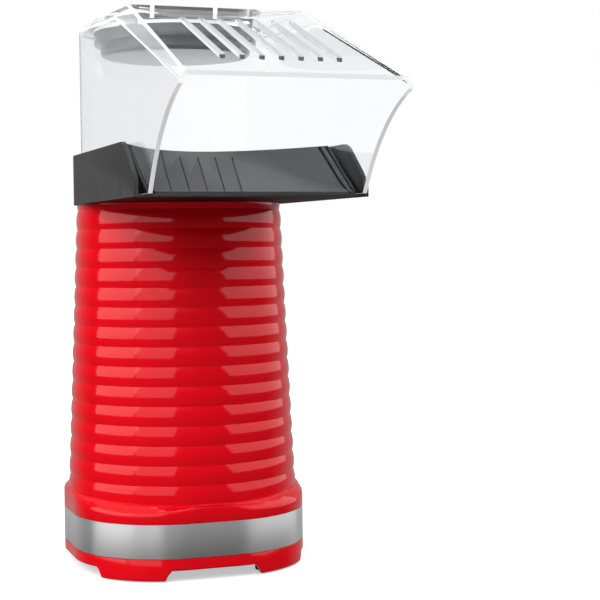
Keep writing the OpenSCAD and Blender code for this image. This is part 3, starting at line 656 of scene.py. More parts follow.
def spun_alloy():
    """Spun aluminium of the popping chamber."""
    return metal("spun_alloy", (0.72, 0.73, 0.75), 0.3, along=20.0, across=900.0)


def zinc_sheet():
    """Zinc-plated sheet."""
    return metal("zinc_sheet", (0.5, 0.51, 0.53), 0.42, along=160.0, across=160.0, tint=0.2)


def coil_wire():
    """Heater wire."""
    return metal("coil_wire", (0.3, 0.25, 0.22), 0.5, along=900.0, across=900.0, height=0.1, tint=0.3)


def sintered_bronze():
    """Bushings."""
    return metal("sintered_bronze", (0.5, 0.33, 0.12), 0.45, along=1500.0, across=1500.0, height=0.05)


def wound_copper():
    """Windings of the armature."""
    return metal("wound_copper", (0.6, 0.26, 0.12), 0.4, along=60.0, across=5000.0, height=0.08, tint=0.3)


def red_silicone():
    """Gasket of the chamber."""
    return moulded_plastic("red_silicone", (0.5, 0.1, 0.06), 0.55, tooth=0.03)


def mica_sheet():
    """Frame of the heater."""
    return moulded_plastic("mica_sheet", (0.5, 0.4, 0.24), 0.4, spread=0.2, tint=0.35, wave=0.1)


def pale_nylon():
    """Fan and pale moulded fittings."""
    return moulded_plastic("pale_nylon", (0.7, 0.67, 0.58), 0.4, tooth=0.01)


def ferrite():
    """Magnets."""
    return moulded_plastic("ferrite", (0.05, 0.05, 0.055), 0.6, tooth=0.06)


def circuit_board():
    """Rectifier board."""
    return moulded_plastic("circuit_board", (0.02, 0.12, 0.045), 0.35, tint=0.3, wave=0.04)


def lead_jacket():
    """Jackets of the short leads."""
    return moulded_plastic("lead_jacket", (0.02, 0.08, 0.35), 0.35, tooth=0.01)


# ---------------------------------------------------------------- plinth

SEAT_PLAY = 0.3 * MM
BAND_RECESS = 0.8 * MM
BAND_WALL = 0.68 * MM
BAND_GAP_HALF = 15.1 * MM
BAND_LIP = 0.16 * MM
SPIGOT_RADIUS = 60.5 * MM
SPIGOT_DEPTH = 3 * MM
ARCH_SIDE = (25.5 * MM, 28 * MM)
ARCH_FRONT = (40.5 * MM, 43 * MM)
ARCH_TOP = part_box("bottom_plate")[0].z
FLAT_STEPS = (-11.5, -8, -4, 0, 4, 8, 11.5)
CORNER_STEPS = 44


def plinth_plan(inset, corner):
    """Points round the plinth's plan, inset from its outside."""
    shift, flat = BASE_HIGH.x - corner, BASE_HIGH.x - inset
    side = [(flat, y * MM) for y in FLAT_STEPS]
    side += [(shift + (corner - inset) * cos(a), shift + (corner - inset) * sin(a))
             for a in (pi / 2 * i / CORNER_STEPS for i in range(CORNER_STEPS + 1))]
    outline = []
    for c, s in ((1, 0), (0, 1), (-1, 0), (0, -1)):
        outline += [(c * x - s * y, s * x + c * y) for x, y in side]
    return outline


def arch_height(x, y):
    """Height of the plinth's lower edge over a point of its plan."""
    def over(value, inner, outer):
        return min(1.0, max(0.0, (outer - value) / (outer - inner)))
    rise = max(over(abs(x), *ARCH_SIDE), over(abs(y), *ARCH_FRONT))
    return BASE_LOW.z + (ARCH_TOP - BASE_LOW.z) * rise


def seat_height(x, y, sizes):
    """Height of the tilted seat plane."""
    return sizes.shoulder_height + y * tan(sizes.shoulder_tilt)


def plinth_section(place, slim, inner, sizes, seat_radius):
    """Closed section of the plinth's wall at a place of its plan, from its foot up and over the shoulder."""
    (x, y), (slim_x, slim_y), (in_x, in_y) = place, slim, inner
    reach = hypot(x, y)
    ux, uy = x / reach, y / reach
    bottom = arch_height(x, y)
    low, high = BAND_LOW.z - sizes.seam, BAND_HIGH.z + sizes.seam
    seat = seat_height(ux * seat_radius, uy * seat_radius, sizes)
    edge = seat_height(x, y, sizes) - (reach - seat_radius) * sizes.shoulder_fall
    spigot = seat_height(ux * SPIGOT_RADIUS, uy * SPIGOT_RADIUS, sizes)
    slope = Vector((seat_radius - reach, seat - edge)).normalized()
    e, crisp = sizes.edge, 0.08 * MM

    def pulled(inset, z):
        return x - ux * inset, y - uy * inset, z

    def near(radius, z):
        return ux * radius, uy * radius, z

    return [Vector(point) for point in (
        (in_x, in_y, bottom + 0.3 * e), pulled(0.4 * e, bottom), (x, y, bottom + 0.5 * e),
        (x, y, low - 0.3 * MM), pulled(crisp, low - 0.06 * MM), (slim_x, slim_y, low),
        (slim_x, slim_y, high), pulled(crisp, high + 0.06 * MM), (x, y, high + 0.3 * MM),
        (x, y, edge - 1.6 * e), pulled(0.12 * e, edge - 0.75 * e), near(reach - 0.6 * e, edge + 0.06 * e),
        near(reach + slope.x * 1.9 * e, edge + slope.y * 1.9 * e - 0.12 * e),
        near(reach + (seat_radius - reach) * 0.45, edge + (seat - edge) * 0.45),
        near(reach + (seat_radius - reach) * 0.8, edge + (seat - edge) * 0.8),
        near(seat_radius + 0.25 * MM, seat - 0.12 * MM), near(seat_radius - 0.35 * MM, seat),
        near(SPIGOT_RADIUS, spigot), near(SPIGOT_RADIUS, spigot - SPIGOT_DEPTH),
        (in_x, in_y, edge - 3 * MM))]


class POPPER_OT_plinth(bpy.types.Operator):
    """Makes the red plinth with its shoulder, band recess and arches"""

    bl_idname = "popper.plinth"
    bl_label = "Plinth"

    def execute(self, context):
        sizes = context.scene.popper_plinth
        seat_radius = context.scene.popper_body.radius_low + SEAT_PLAY
        plans = [plinth_plan(inset, sizes.corner_radius) for inset in (0.0, BAND_RECESS, sizes.wall)]
        sections = [plinth_section(*places, sizes, seat_radius) for places in zip(*plans)]
        mesh = smooth(plain_mesh("plinth", *swept(sections, closed=True)), 34)
        place_piece(mesh, "plinth", "housing", [gloss_red()], ["base_shell"])
        return {"FINISHED"}


class POPPER_OT_band(bpy.types.Operator):
    """Makes the brushed steel band in the plinth"""

    bl_idname = "popper.band"
    bl_label = "Steel band"

    def execute(self, context):
        corner = context.scene.popper_plinth.corner_radius
        low, high = BAND_LOW.z, BAND_HIGH.z
        kept = [pair for pair in zip(plinth_plan(0.0, corner), plinth_plan(BAND_WALL, corner))
                if pair[0][1] <= 0 or abs(pair[0][0]) >= BAND_GAP_HALF]
        kept.sort(key=lambda pair: atan2(pair[0][0], -pair[0][1]))
        sections, along, total = [], [], 0.0
        for k, ((x, y), (in_x, in_y)) in enumerate(kept):
            if k:
                total += hypot(x - kept[k - 1][0][0], y - kept[k - 1][0][1])
            along.append(total)
            lip = Vector((x - in_x, y - in_y)).normalized() * BAND_LIP
            sections.append([(in_x, in_y, low), (x - lip.x, y - lip.y, low), (x, y, low + BAND_LIP),
                             (x, y, high - BAND_LIP), (x - lip.x, y - lip.y, high), (in_x, in_y, high)])
        points, faces = swept(sections)
        mesh = bpy.data.meshes.new("band")
        mesh.from_pydata(points, [], faces)
        uv = mesh.uv_layers.new(name="grain")
        for loop in mesh.loops:
            place = loop.vertex_index
            uv.data[loop.index].uv = (along[place // len(sections[0])], mesh.vertices[place].co.z)
        smooth(edit(mesh, face_outwards), 50)
        place_piece(mesh, "steel_band_skin", "housing", [brushed_band()], ["steel_band"])
        return {"FINISHED"}


# ---------------------------------------------------------------- ribbed body

BODY_WALL = 2.4 * MM
BODY_HIDDEN = 8 * MM
PAD_MARGIN = 3 * MM
PAD_OVERLAP = 1.35 * MM
PAD_SET_BACK = 2 * MM
PAD_DEPTH = 8 * MM


def ribbed_body_tree():
    """Tube whose radius follows the rib rule: a taper less a parabola in each rib."""
    tree, take, out = geometry_tree("Ribbed Body", {
        "Lower Radius": 0.068, "Upper Radius": 0.06, "Bottom": 0.04, "Taper Bottom": 0.046, "Top": 0.21,
        "Rib Pitch": 0.011, "Rib Depth": 0.001, "First Groove": 0.004, "Steps Around": 160,
        "Steps Up": 150}, Material="Material")
    grid = add(tree, "GeometryNodeMeshGrid", {
        "Vertices X": math(tree, "ADD", take["Steps Around"], 1),
        "Vertices Y": math(tree, "ADD", take["Steps Up"], 1), "Size X": 1.0, "Size Y": 1.0})
    spot = parted(tree, add(tree, "GeometryNodeInputPosition").outputs[0])
    turn = math(tree, "MULTIPLY", math(tree, "ADD", spot["X"], 0.5), 2 * pi)
    rise = math(tree, "ADD", spot["Y"], 0.5)
    tall = math(tree, "SUBTRACT", take["Top"], take["Bottom"])
    height = math(tree, "MULTIPLY_ADD", rise, tall, take["Bottom"])
    groove = math(tree, "SUBTRACT", take["Top"], take["First Groove"])
    down = math(tree, "DIVIDE", math(tree, "SUBTRACT", groove, height), take["Rib Pitch"])
    phase = math(tree, "FRACT", math(tree, "ADD", down, 64.0))
    bulge = math(tree, "POWER", math(tree, "MULTIPLY_ADD", phase, 2.0, -1.0), 2.0)
    taper_tall = math(tree, "SUBTRACT", take["Top"], take["Taper Bottom"])
    taper = math(tree, "DIVIDE", math(tree, "SUBTRACT", height, take["Taper Bottom"]), taper_tall)
    widen = math(tree, "SUBTRACT", take["Upper Radius"], take["Lower Radius"])
    crest = math(tree, "MULTIPLY_ADD", taper, widen, take["Lower Radius"])
    radius = math(tree, "SUBTRACT", crest, math(tree, "MULTIPLY", bulge, take["Rib Depth"]))
    place = joined(tree, X=math(tree, "MULTIPLY", radius, math(tree, "COSINE", turn)),
                   Y=math(tree, "MULTIPLY", radius, math(tree, "SINE", turn)), Z=height)
    tube = add(tree, "GeometryNodeSetPosition", {"Geometry": grid.outputs["Mesh"], "Position": place})
    seam = add(tree, "GeometryNodeMergeByDistance", {"Geometry": tube.outputs[0], "Distance": MERGE})
    feed(tree, out, {0: painted(tree, seam.outputs[0], take["Material"])})
    return tree


class POPPER_OT_body(bpy.types.Operator):
    """Makes the ribbed red body with its switch pad"""

    bl_idname = "popper.body"
    bl_label = "Ribbed body"

    def execute(self, context):
        sizes = context.scene.popper_body
        plinth = context.scene.popper_plinth
        lowest = plinth.shoulder_height - BODY_HIDDEN
        ribs = ceil((BODY_HIGH.z - sizes.first_groove - lowest) / sizes.rib_pitch)
        depth = sizes.first_groove + ribs * sizes.rib_pitch
        mesh = run_tree(None, ribbed_body_tree(), {
            "Lower Radius": sizes.radius_low, "Upper Radius": sizes.radius_top,
            "Bottom": BODY_HIGH.z - depth, "Taper Bottom": plinth.shoulder_height, "Top": BODY_HIGH.z,
            "Rib Pitch": sizes.rib_pitch, "Rib Depth": sizes.rib_depth, "First Groove": sizes.first_groove,
            "Steps Around": sizes.around, "Steps Up": round(depth * sizes.per_rib / sizes.rib_pitch),
            "Material": gloss_red()})
        tilt = plinth.shoulder_tilt

        def cut_at_seat(work):
            bmesh.ops.bisect_plane(work, geom=work.verts[:] + work.edges[:] + work.faces[:],
                                   plane_co=(0, 0, plinth.shoulder_height),
                                   plane_no=(0, -sin(tilt), cos(tilt)), clear_inner=True, dist=1e-7)

        edit(mesh, face_outwards, cut_at_seat)
        mesh = finished(mesh, ("SOLIDIFY", {"thickness": BODY_WALL, "offset": -1.0,
                                            "use_even_offset": True}))
        place_piece(smooth(mesh, 24), "ribbed_body", "housing", [gloss_red()],
                    ["body_shell"])
        place_piece(switch_pad_mesh(), "switch_pad", "housing", [gloss_red()])
        return {"FINISHED"}


def switch_pad_mesh():
    """Flat frame on the rear of the body that the switch sits in."""
    low, high = axis_box("switch_housing")
    face = high.y - PAD_SET_BACK
    rings = []
    for y in (face, face - PAD_DEPTH):
        for grow in (PAD_MARGIN, -PAD_OVERLAP):
            x0, x1, z0, z1 = low.x - grow, high.x + grow, low.z - grow, high.z + grow
            rings += [(x0, y, z0), (x1, y, z0), (x1, y, z1), (x0, y, z1)]
    faces = []
    for i in range(4):
        j = (i + 1) % 4
        faces += [(a + i, a + j, b + j, b + i) for a, b in ((0, 4), (8, 12), (0, 8), (4, 12))]
    return smooth(finished(plain_mesh("switch_pad", rings, faces), bevel(0.9 * MM, 3)))


# ---------------------------------------------------------------- collar and chute

COLLAR_WALL = 1.9 * MM
LINER_OVERLAP, LINER_DEPTH = 0.2 * MM, 1.9 * MM
LINER_FOOT, LINER_DROP = 9.4 * MM, 0.9 * MM
RAMP_REAR = -63.5 * MM
RAMP_LIP = -148.3 * MM
RAMP_PAST = -152 * MM
SIDE_REAR = -103 * MM
GROOVE_STEPS = 12
# Places in millimetres: rear and front of each slanting groove; middle and half width of each side groove.
SLANTING_GROOVES = ((-26.5, -43.6), (-16.0, -34.4), (-5.7, -25.1), (4.3, -16.2), (14.3, -7.3))
SIDE_GROOVES = ((-54.1, 0.4), (-51.9, 0.5), (51.9, 0.5), (54.1, 0.4))


class POPPER_OT_collar(bpy.types.Operator):
    """Makes the charcoal collar and the chute with its ramp"""

    bl_idname = "popper.collar"
    bl_label = "Collar and chute"

    def execute(self, context):
        inside = axis_box("collar_tray")[1].x - COLLAR_WALL
        collar = place_piece(softened_copy("collar_tray", 0.55 * MM, 3), "collar", "housing",
                             [charcoal(), matt_black()], ["collar_tray"])
        # Painted shade: the collar's undersides and the side walls' faces into the channel take the
        # near-black finish.
        paint_faces(collar, 1, lambda at, out: out.z < -0.5 or (
            abs(at.x) < inside and abs(out.x) > 0.6 and at.x * out.x < 0))
        chute = place_piece(grooved_chute(), "chute", "housing",
                            [ramp_charcoal(), matt_black()], ["chute_deck"])
        # Painted shade: the chute's undersides and upright sides, groove walls among them, take the
        # near-black finish.
        paint_faces(chute, 1, lambda at, out: out.z < -0.4 or abs(out.x) > 0.9)
        liner = place_piece(liner_mesh(inside), "collar_liners", "housing",
                            [charcoal(), matt_black()])
        # Painted shade: the liners' broad faces take the near-black finish.
        paint_faces(liner, 1, lambda at, out: abs(out.x) > 0.9)
        return {"FINISHED"}


def grooved_chute():
    """Chute with thin grooves down its ramp: five slanting ones and two along either side. The groove walls
    are painted near black: on the slanting grooves a painted reflection of the hood's vents, on the side
    ones painted shade.
    """
    mesh = softened_copy("chute_deck", 0.35 * MM, flat=0.05)
    work = bmesh.new()
    work.from_mesh(mesh)
    surface = BVHTree.FromBMesh(work)
    work.free()
    grooves = [(rear, front, RAMP_REAR, 0.3, 0.6) for rear, front in SLANTING_GROOVES]
    grooves += [(x, x, SIDE_REAR, half, 1.4) for x, half in SIDE_GROOVES]
    sweeps = []
    for rear_x, front_x, rear_y, half, depth in grooves:
        sections = []
        for k in range(GROOVE_STEPS + 1):
            t = k / GROOVE_STEPS
            x, y = (rear_x + (front_x - rear_x) * t) * MM, rear_y + (RAMP_PAST - rear_y) * t
            z = surface.ray_cast(Vector((x, max(y, RAMP_LIP), 1)), Vector((0, 0, -1)))[0].z
            sections.append([(x + side * MM, y, z + up * MM) for side, up in
                             ((-half, -depth), (half, -depth), (half, 2), (-half, 2))])
        sweeps.append(sections)
    cutter = swept_mesh("grooves", sweeps)
    for data in (mesh, cutter):
        set_materials(data, (ramp_charcoal(), matt_black()))
    # Groove walls take the near-black finish: painted reflection and painted shade.
    for face in cutter.polygons:
        face.material_index = 1
    return finished(smooth(cut_away(mesh, cutter)), WEIGHTED_NORMALS)


def liner_mesh(inside):
    """Inner layer of the collar's two side walls, which ends behind their sloping front edges; its broad
    faces are painted near black as shade in the channel.
    """
    foot = axis_box("collar_tray")[0].z + LINER_FOOT
    top = axis_box("chute_deck")[1].z - LINER_DROP
    profile = [(-62 * MM, foot), (-138 * MM, foot), (-136.5 * MM, foot + 4 * MM), (-104 * MM, top),
               (-62 * MM, top)]
    mesh = swept_mesh("collar_liners", [
        [[(side * x, y, z) for y, z in profile] for x in (inside + LINER_OVERLAP, inside - LINER_DEPTH)]
        for side in (-1, 1)])
    return smooth(finished(mesh, bevel(0.4 * MM)))


# ---------------------------------------------------------------- hood

# The edge and bevel finishes carry a painted glow, the slot-end finish a painted dark reflection.
HOOD_FINISHES = (hood_clear, hood_edge, hood_top, slot_wall, slot_end, hood_bevel)
EDGE, TOP, SLOT_END, BEVEL = map(HOOD_FINISHES.index, (hood_edge, hood_top, slot_end, hood_bevel))
CHEEK_STEPS, SIDE_STEPS, REAR_STEPS, WALL_STEPS, HOLE_STEPS = 20, 8, 48, 6, 96
KNEE_FORWARD, KNEE_UP = 22.5 * MM, 35.8 * MM
VENT_CUT_DROP = 25 * MM
ROOF_DEPTH = 60 * MM
FLAT_HALF, VENTS_HALF = 54 * MM, 40 * MM
DIAGONAL = 0.7071
LUG_TURNS = (-30, 10)


def hood_sheet(sizes):
    """Outer skin of the hood as an open sheet, with the cup's hole in its top."""
    side, foot, reach = HOOD_HIGH.x, HOOD_LOW.z, -HOOD_LOW.y
    slope = sizes.drop / (reach - sizes.bend)
    lift = sizes.rear_rise / (sizes.bend + side)

    def roof(forward):
        return HOOD_TOP + (sizes.bend - forward) * (lift if forward < sizes.bend else slope)

    def edge_size(forward):
        if forward <= sizes.bend:
            t = max(0.0, forward / sizes.bend)
            return sizes.round_seat + (sizes.round_rear - sizes.round_seat) * t
        t = (forward - sizes.bend) / (reach - sizes.bend)
        return sizes.round_rear + (sizes.round_front - sizes.round_rear) * t

    def column(origin, outward, forward, low):
        """Points up the wall and over its bevelled upper edge, with a small blend on either side of it."""
        e = edge_size(forward)
        high = roof(-(origin + outward * (side - 1.16 * e)).y) - e
        wall_top = high - 0.4 * e
        line = [origin + outward * side + Vector((0, 0, low + (wall_top - low) * r / WALL_STEPS))
                for r in range(WALL_STEPS + 1)]
        soft = 0.16 * e
        for a, b, c in (((0, -soft), (0, 0), (DIAGONAL * soft, DIAGONAL * soft)),
                        ((e - DIAGONAL * soft, e - DIAGONAL * soft), (e, e), (e + soft, e))):
            for t in (0.0, 0.33, 0.67, 1.0):
                into, up = bezier(Vector(a), Vector(b), Vector(c), t)
                line.append(origin + outward * (side - into) + Vector((0, 0, high + up)))
        return line

    nose = roof(reach) - 1.6 * sizes.round_front - 0.6 * MM
    stations = [(bezier(sizes.step, sizes.step + KNEE_FORWARD, reach, 1 - k / CHEEK_STEPS),
                 bezier(foot, foot + KNEE_UP, nose, 1 - k / CHEEK_STEPS)) for k in range(CHEEK_STEPS + 1)]
    for start, end in ((sizes.step, sizes.bend), (sizes.bend, 0.0)):
        stations += [(start + (end - start) * k / SIDE_STEPS, foot) for k in range(1, SIDE_STEPS + 1)]
    columns = [column(Vector((0, -forward, 0)), Vector((-1, 0, 0)), forward, low)
               for forward, low in stations]
    for k in range(1, REAR_STEPS):
        a = pi - pi * k / REAR_STEPS
        columns.append(column(Vector((0, 0, 0)), Vector((cos(a), sin(a), 0)), 0.0, foot))
    columns += [column(Vector((0, -forward, 0)), Vector((1, 0, 0)), forward, low)
                for forward, low in reversed(stations)]
    work = bmesh.new()
    grid = [[work.verts.new(p) for p in line] for line in columns]
    for left, right in zip(grid, grid[1:]):
        for r in range(len(left) - 1):
            work.faces.new((left[r], right[r], right[r + 1], left[r + 1]))
    edge_line = [line[-1] for line in grid]
    bend_at = [i for i, v in enumerate(edge_line) if abs(v.co.y + sizes.bend) < 1e-7]
    first, last = bend_at[0], bend_at[-1]
    fill_ring(work, edge_line[:first + 1] + edge_line[last:])
    turns = [2 * pi * k / HOLE_STEPS for k in range(HOLE_STEPS)]
    rim, floor, hole = (
        [work.verts.new((r * cos(a), r * sin(a), roof(-r * sin(a)) if raised else HOOD_TOP)) for a in turns]
        for r, raised in ((sizes.seat, True), (sizes.seat, False), (sizes.hole, False)))
    fill_ring(work, edge_line[first:last + 1], rim)
    for outer, inner in ((rim, floor), (floor, hole)):
        for k in range(HOLE_STEPS):
            j = (k + 1) % HOLE_STEPS
            work.faces.new((outer[k], outer[j], inner[j], inner[k]))
    face_outwards(work)
    mesh = bpy.data.meshes.new("hood")
    work.to_mesh(mesh)
    work.free()
    return mesh


def fill_ring(work, ring, hole=()):
    """Fills the flat area inside a ring of points, less a hole."""
    edges = []
    for line in (ring, hole):
        for i, v in enumerate(line):
            other = line[(i + 1) % len(line)]
            edges.append(work.edges.get((v, other)) or work.edges.new((v, other)))
    if hole:
        bmesh.ops.triangle_fill(work, edges=edges, use_beauty=True)
    else:
        work.faces.new(ring)


def vent_slots_tree():
    """Cuts a row of round-ended upright slots, with walls of their own finish, through a sheet."""
    tree, take, out = geometry_tree("Vent Slots", {
        "Count": 7, "Pitch": 0.01, "Width": 0.002, "Rear": 0.117, "Front": 0.188, "Shift": 0.0,
        "Height": 0.29}, Wall_Material="Material")
    bar = add(tree, "GeometryNodeMeshCylinder", {
        "Vertices": 32, "Radius": math(tree, "MULTIPLY", take["Width"], 0.5), "Depth": 0.09})
    end = math(tree, "SIGN", parted(tree, add(tree, "GeometryNodeInputPosition").outputs[0])["Y"])
    half_length = math(tree, "MULTIPLY", math(tree, "SUBTRACT", take["Front"], take["Rear"]), 0.5)
    longer = add(tree, "GeometryNodeSetPosition", {
        "Geometry": bar.outputs["Mesh"], "Offset": joined(tree, Y=math(tree, "MULTIPLY", end, half_length))})
    half_count = math(tree, "MULTIPLY", math(tree, "SUBTRACT", take["Count"], 1.0), -0.5)
    middle = math(tree, "MULTIPLY", math(tree, "ADD", take["Front"], take["Rear"]), -0.5)
    start = joined(tree, X=math(tree, "MULTIPLY_ADD", half_count, take["Pitch"], take["Shift"]), Y=middle,
                   Z=take["Height"])
    row = add(tree, "GeometryNodeMeshLine", {
        "Count": take["Count"], "Start Location": start, "Offset": joined(tree, X=take["Pitch"])},
        mode="OFFSET")
    spread = add(tree, "GeometryNodeInstanceOnPoints", {"Points": row.outputs["Mesh"],
                                                        "Instance": longer.outputs[0]})
    cutters = painted(tree, spread.outputs[0], take["Wall Material"])
    cut = add(tree, "GeometryNodeMeshBoolean", operation="DIFFERENCE", solver="EXACT")
    feed(tree, cut, {"Mesh 1": take["Geometry"], "Mesh 2": cutters})
    feed(tree, out, {0: cut.outputs["Mesh"]})
    return tree


class POPPER_OT_hood(bpy.types.Operator):
    """Makes the clear hood with its cup hole, vent slots and locating lugs"""

    bl_idname = "popper.hood"
    bl_label = "Hood"

    def execute(self, context):
        sizes = context.scene.popper_hood
        finishes = [maker() for maker in HOOD_FINISHES]
        mesh = hood_sheet(sizes)
        set_materials(mesh, finishes)
        # The cut rim here and the bevelled edges below take the white edge finish with its painted glow.
        mesh = finished(mesh, ("SOLIDIFY", {"thickness": sizes.wall, "offset": -1.0, "use_even_offset": True,
                                            "use_quality_normals": True, "material_offset_rim": EDGE}))
        mesh = run_tree(mesh, vent_slots_tree(), {
            "Count": sizes.vents, "Pitch": sizes.vent_pitch, "Width": sizes.vent_width,
            "Rear": sizes.vent_rear, "Front": sizes.vent_front, "Shift": sizes.vent_shift,
            "Height": HOOD_TOP - VENT_CUT_DROP, "Wall Material": slot_wall()})
        mesh = finished(smooth(mesh), bevel(0.5 * MM, degrees=50, material=EDGE), WEIGHTED_NORMALS)
        shell = place_piece(mesh, "clear_hood", "hood", finishes, ["hood"])
        paint_hood(shell, -sizes.vent_front - 0.2 * MM)
        # The lugs take the white edge finish with its painted glow.
        place_piece(lug_mesh(), "hood_lugs", "hood", [hood_edge()])
        return {"FINISHED"}


def paint_hood(shell, slots_end):
    """Gives the flat top, its bevelled edge, the blends beside that and the slots' ends their finishes: a
    painted glow on the blends, a faint one on the bevel and a painted dark reflection on the slots' ends.
    """
    high = HOOD_TOP - ROOF_DEPTH

    def outward(at, out):
        return abs(out.x) if at.y < 0 else hypot(out.x, out.y)

    for slot, chosen in (
            (TOP, lambda at, out: abs(at.x) < FLAT_HALF and abs(out.z) > 0.9),
            (EDGE, lambda at, out: abs(out.z) > 0.08 and (
                0.08 < outward(at, out) < 0.64 or 0.78 < outward(at, out))),
            (BEVEL, lambda at, out: 0.64 <= outward(at, out) <= 0.78),
            (SLOT_END, lambda at, out: abs(at.x) < VENTS_HALF and abs(out.z) < 0.2
             and slots_end > at.y > slots_end - 3 * MM)):
        paint_faces(shell, slot, lambda at, out: at.z > high and chosen(at, out))


def lug_mesh():
    """Two small upright lugs in front of the cup's rim."""
    plan = ((-1.2, -52.5), (1.2, -52.5), (1.2, -51.5), (-1.2, -51.5))
    sweeps = []
    for turn in LUG_TURNS:
        spin = Matrix.Rotation(radians(turn), 4, "Z")
        sweeps.append([[spin @ Vector((x * MM, y * MM, HOOD_TOP + up)) for x, y in plan]
                       for up in (0.4 * MM, 4.1 * MM)])
    return smooth(finished(swept_mesh("hood_lugs", sweeps), bevel(0.3 * MM, 3)))


# ---------------------------------------------------------------- measuring cup


class POPPER_OT_cup(bpy.types.Operator):
    """Makes the smoky measuring cup"""

    bl_idname = "popper.cup"
    bl_label = "Measuring cup"

    def execute(self, context):
        s = context.scene.popper_cup
        low, high, w = CUP_LOW.z, CUP_HIGH.z, s.wall
        seat = high - s.rim_height
        neck = seat - s.neck_height
        outline = rounded_profile([
            (s.rim, seat, 0.5 * MM), (s.rim, high, 0.7 * MM), (s.neck - w, high, 0.9 * MM),
            (s.neck - w, neck + w, 1.0 * MM), (s.bowl - w, neck + w, 0.9 * MM),
            (s.bowl - w, low + w, 4.4 * MM), (0, low + w, 0), (0, low, 0), (s.bowl, low, 6.2 * MM),
            (s.bowl, neck, 0.6 * MM), (s.neck, neck, 0.6 * MM), (s.neck, seat, 0.5 * MM)], 6)
        place_piece(smooth(turned_mesh("cup", outline, 128), 38), "smoke_cup", "cup",
                    [smoke_plastic()], ["measuring_cup"])
        return {"FINISHED"}


# ---------------------------------------------------------------- fasteners

SCREW_NODES = ("plate_screws", "post_screws", "chute_screws", "body_screws")
SCREW_HEAD = (3.2 * MM, 2 * MM)
SCREW_SHANK = 1.5 * MM
FIRST_SEED = 3


def screw_heads_tree():
    """Screws on every point given, each turned by its own angle."""
    tree, given, out = geometry_tree("Screw Heads", {"Seed": FIRST_SEED}, Screw="Object",
                                     Material="Material")
    screw = add(tree, "GeometryNodeObjectInfo", {"Object": given["Screw"]}, transform_space="ORIGINAL")
    chance = add(tree, "FunctionNodeRandomValue", {"Max": pi / 2, "Seed": given["Seed"]}, data_type="FLOAT")
    aim = add(tree, "FunctionNodeEulerToRotation", {0: joined(tree, Z=chance.outputs["Value"])})
    spread = add(tree, "GeometryNodeInstanceOnPoints", {
        "Points": given["Geometry"], "Instance": screw.outputs["Geometry"], "Rotation": aim.outputs[0]})
    feed(tree, out, {0: painted(tree, spread.outputs[0], given["Material"])})
    return tree


def cross_screw_mesh(length):
    """Screw with its head down, a cross recess in the head and a pointed tip."""
    (head, tall), shank = SCREW_HEAD, SCREW_SHANK
    outline = rounded_profile([
        (0, 0, 0), (head * 0.8, 0, 0.9 * MM), (head, tall * 0.7, 0.5 * MM), (head, tall, 0.1 * MM),
        (shank, tall, 0.1 * MM), (shank, length - 1 * MM, 0.1 * MM), (0, length, 0)], 3)
    return smooth(cut_away(turned_mesh("screw", outline, 32), cross_mesh(head * 0.55, 1.1 * MM)), 35)


def cross_mesh(reach, depth):
    """Cross-shaped cutter that narrows upwards."""
    half = reach * 0.18
    arm = [(reach, -half), (reach, half), (half, half)]
    plan = [(c * x - s * y, s * x + c * y) for c, s in ((1, 0), (0, 1), (-1, 0), (0, -1)) for x, y in arm]
    return swept_mesh("cross", [[[(x * k, y * k, z) for x, y in plan]
                                 for k, z in ((1, -0.2 * MM), (0.45, depth))]])


class POPPER_OT_screws(bpy.types.Operator):
    """Makes the cross-headed screws that show from below"""

    bl_idname = "popper.screws"
    bl_label = "Screws"

    def execute(self, context):
        tree = screw_heads_tree()
        for seed, node in enumerate(SCREW_NODES, FIRST_SEED):
            low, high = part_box(node)
            screw = new_object("screw", cross_screw_mesh(high.z - low.z))
            points = bpy.data.meshes.new("points")
            points.from_pydata([(x - AXIS.x, y - AXIS.y, low.z) for x, y in island_centres(node)], [], [])
            made = run_tree(points, tree, {"Screw": screw, "Seed": seed, "Material": plated_screw()})
            bpy.data.objects.remove(screw)
            place_piece(smooth(made, 35), node + "_cross", "housing", [plated_screw()],
                        [node])
        return {"FINISHED"}


def island_centres(node):
    """Plan centres of a CAD node's separate solids."""
    work = bmesh.new()
    work.from_mesh(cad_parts[node].data)
    merge_doubles(work)
    left, centres = set(work.verts), []
    while left:
        group, front = set(), [left.pop()]
        while front:
            v = front.pop()
            group.add(v)
            touching = {edge.other_vert(v) for edge in v.link_edges} & left
            left -= touching
            front += touching
        xs, ys = [v.co.x for v in group], [v.co.y for v in group]
        centres.append(((min(xs) + max(xs)) / 2, (min(ys) + max(ys)) / 2))
    work.free()
    return sorted(centres)


# ---------------------------------------------------------------- small outer pieces and inner finishes

FITTINGS = (
    ("switch_housing", "switch_frame", "housing", "black_plastic", black_texture, 0.35 * MM),
    ("rocker", "switch_rocker", "rocker", "black_plastic", black_texture, 0.4 * MM),
    ("cord_gland", "gland", "housing", "black_plastic", black_texture, 0.4 * MM),
    ("rubber_feet", "foot_pads", "housing", "foot_rubber", soft_rubber, 0.6 * MM),
    ("bottom_plate", "vented_plate", "housing", "black_plastic", black_texture, 0.3 * MM))
INNER_FINISHES = (
    (spun_alloy, ("popping_chamber",)),
    (zinc_sheet, ("heat_shield", "motor_bracket", "motor_can", "thermostat")),
    (plated_screw, ("bracket_screws", "motor_screws", "motor_shaft")),
    (black_texture, ("fan_duct", "motor_posts", "gland_nut")),
    (red_silicone, ("chamber_gasket",)),
    (mica_sheet, ("mica_frame",)),
    (coil_wire, ("heating_coil",)),
    (pale_nylon, ("thermal_fuse", "motor_endcap", "terminal_block", "fan")),
    (ferrite, ("motor_magnets",)),
    (sintered_bronze, ("upper_bushing", "lower_bushing")),
    (wound_copper, ("armature",)),
    (circuit_board, ("rectifier_board",)),
    (lead_jacket, ("switch_leads",)))


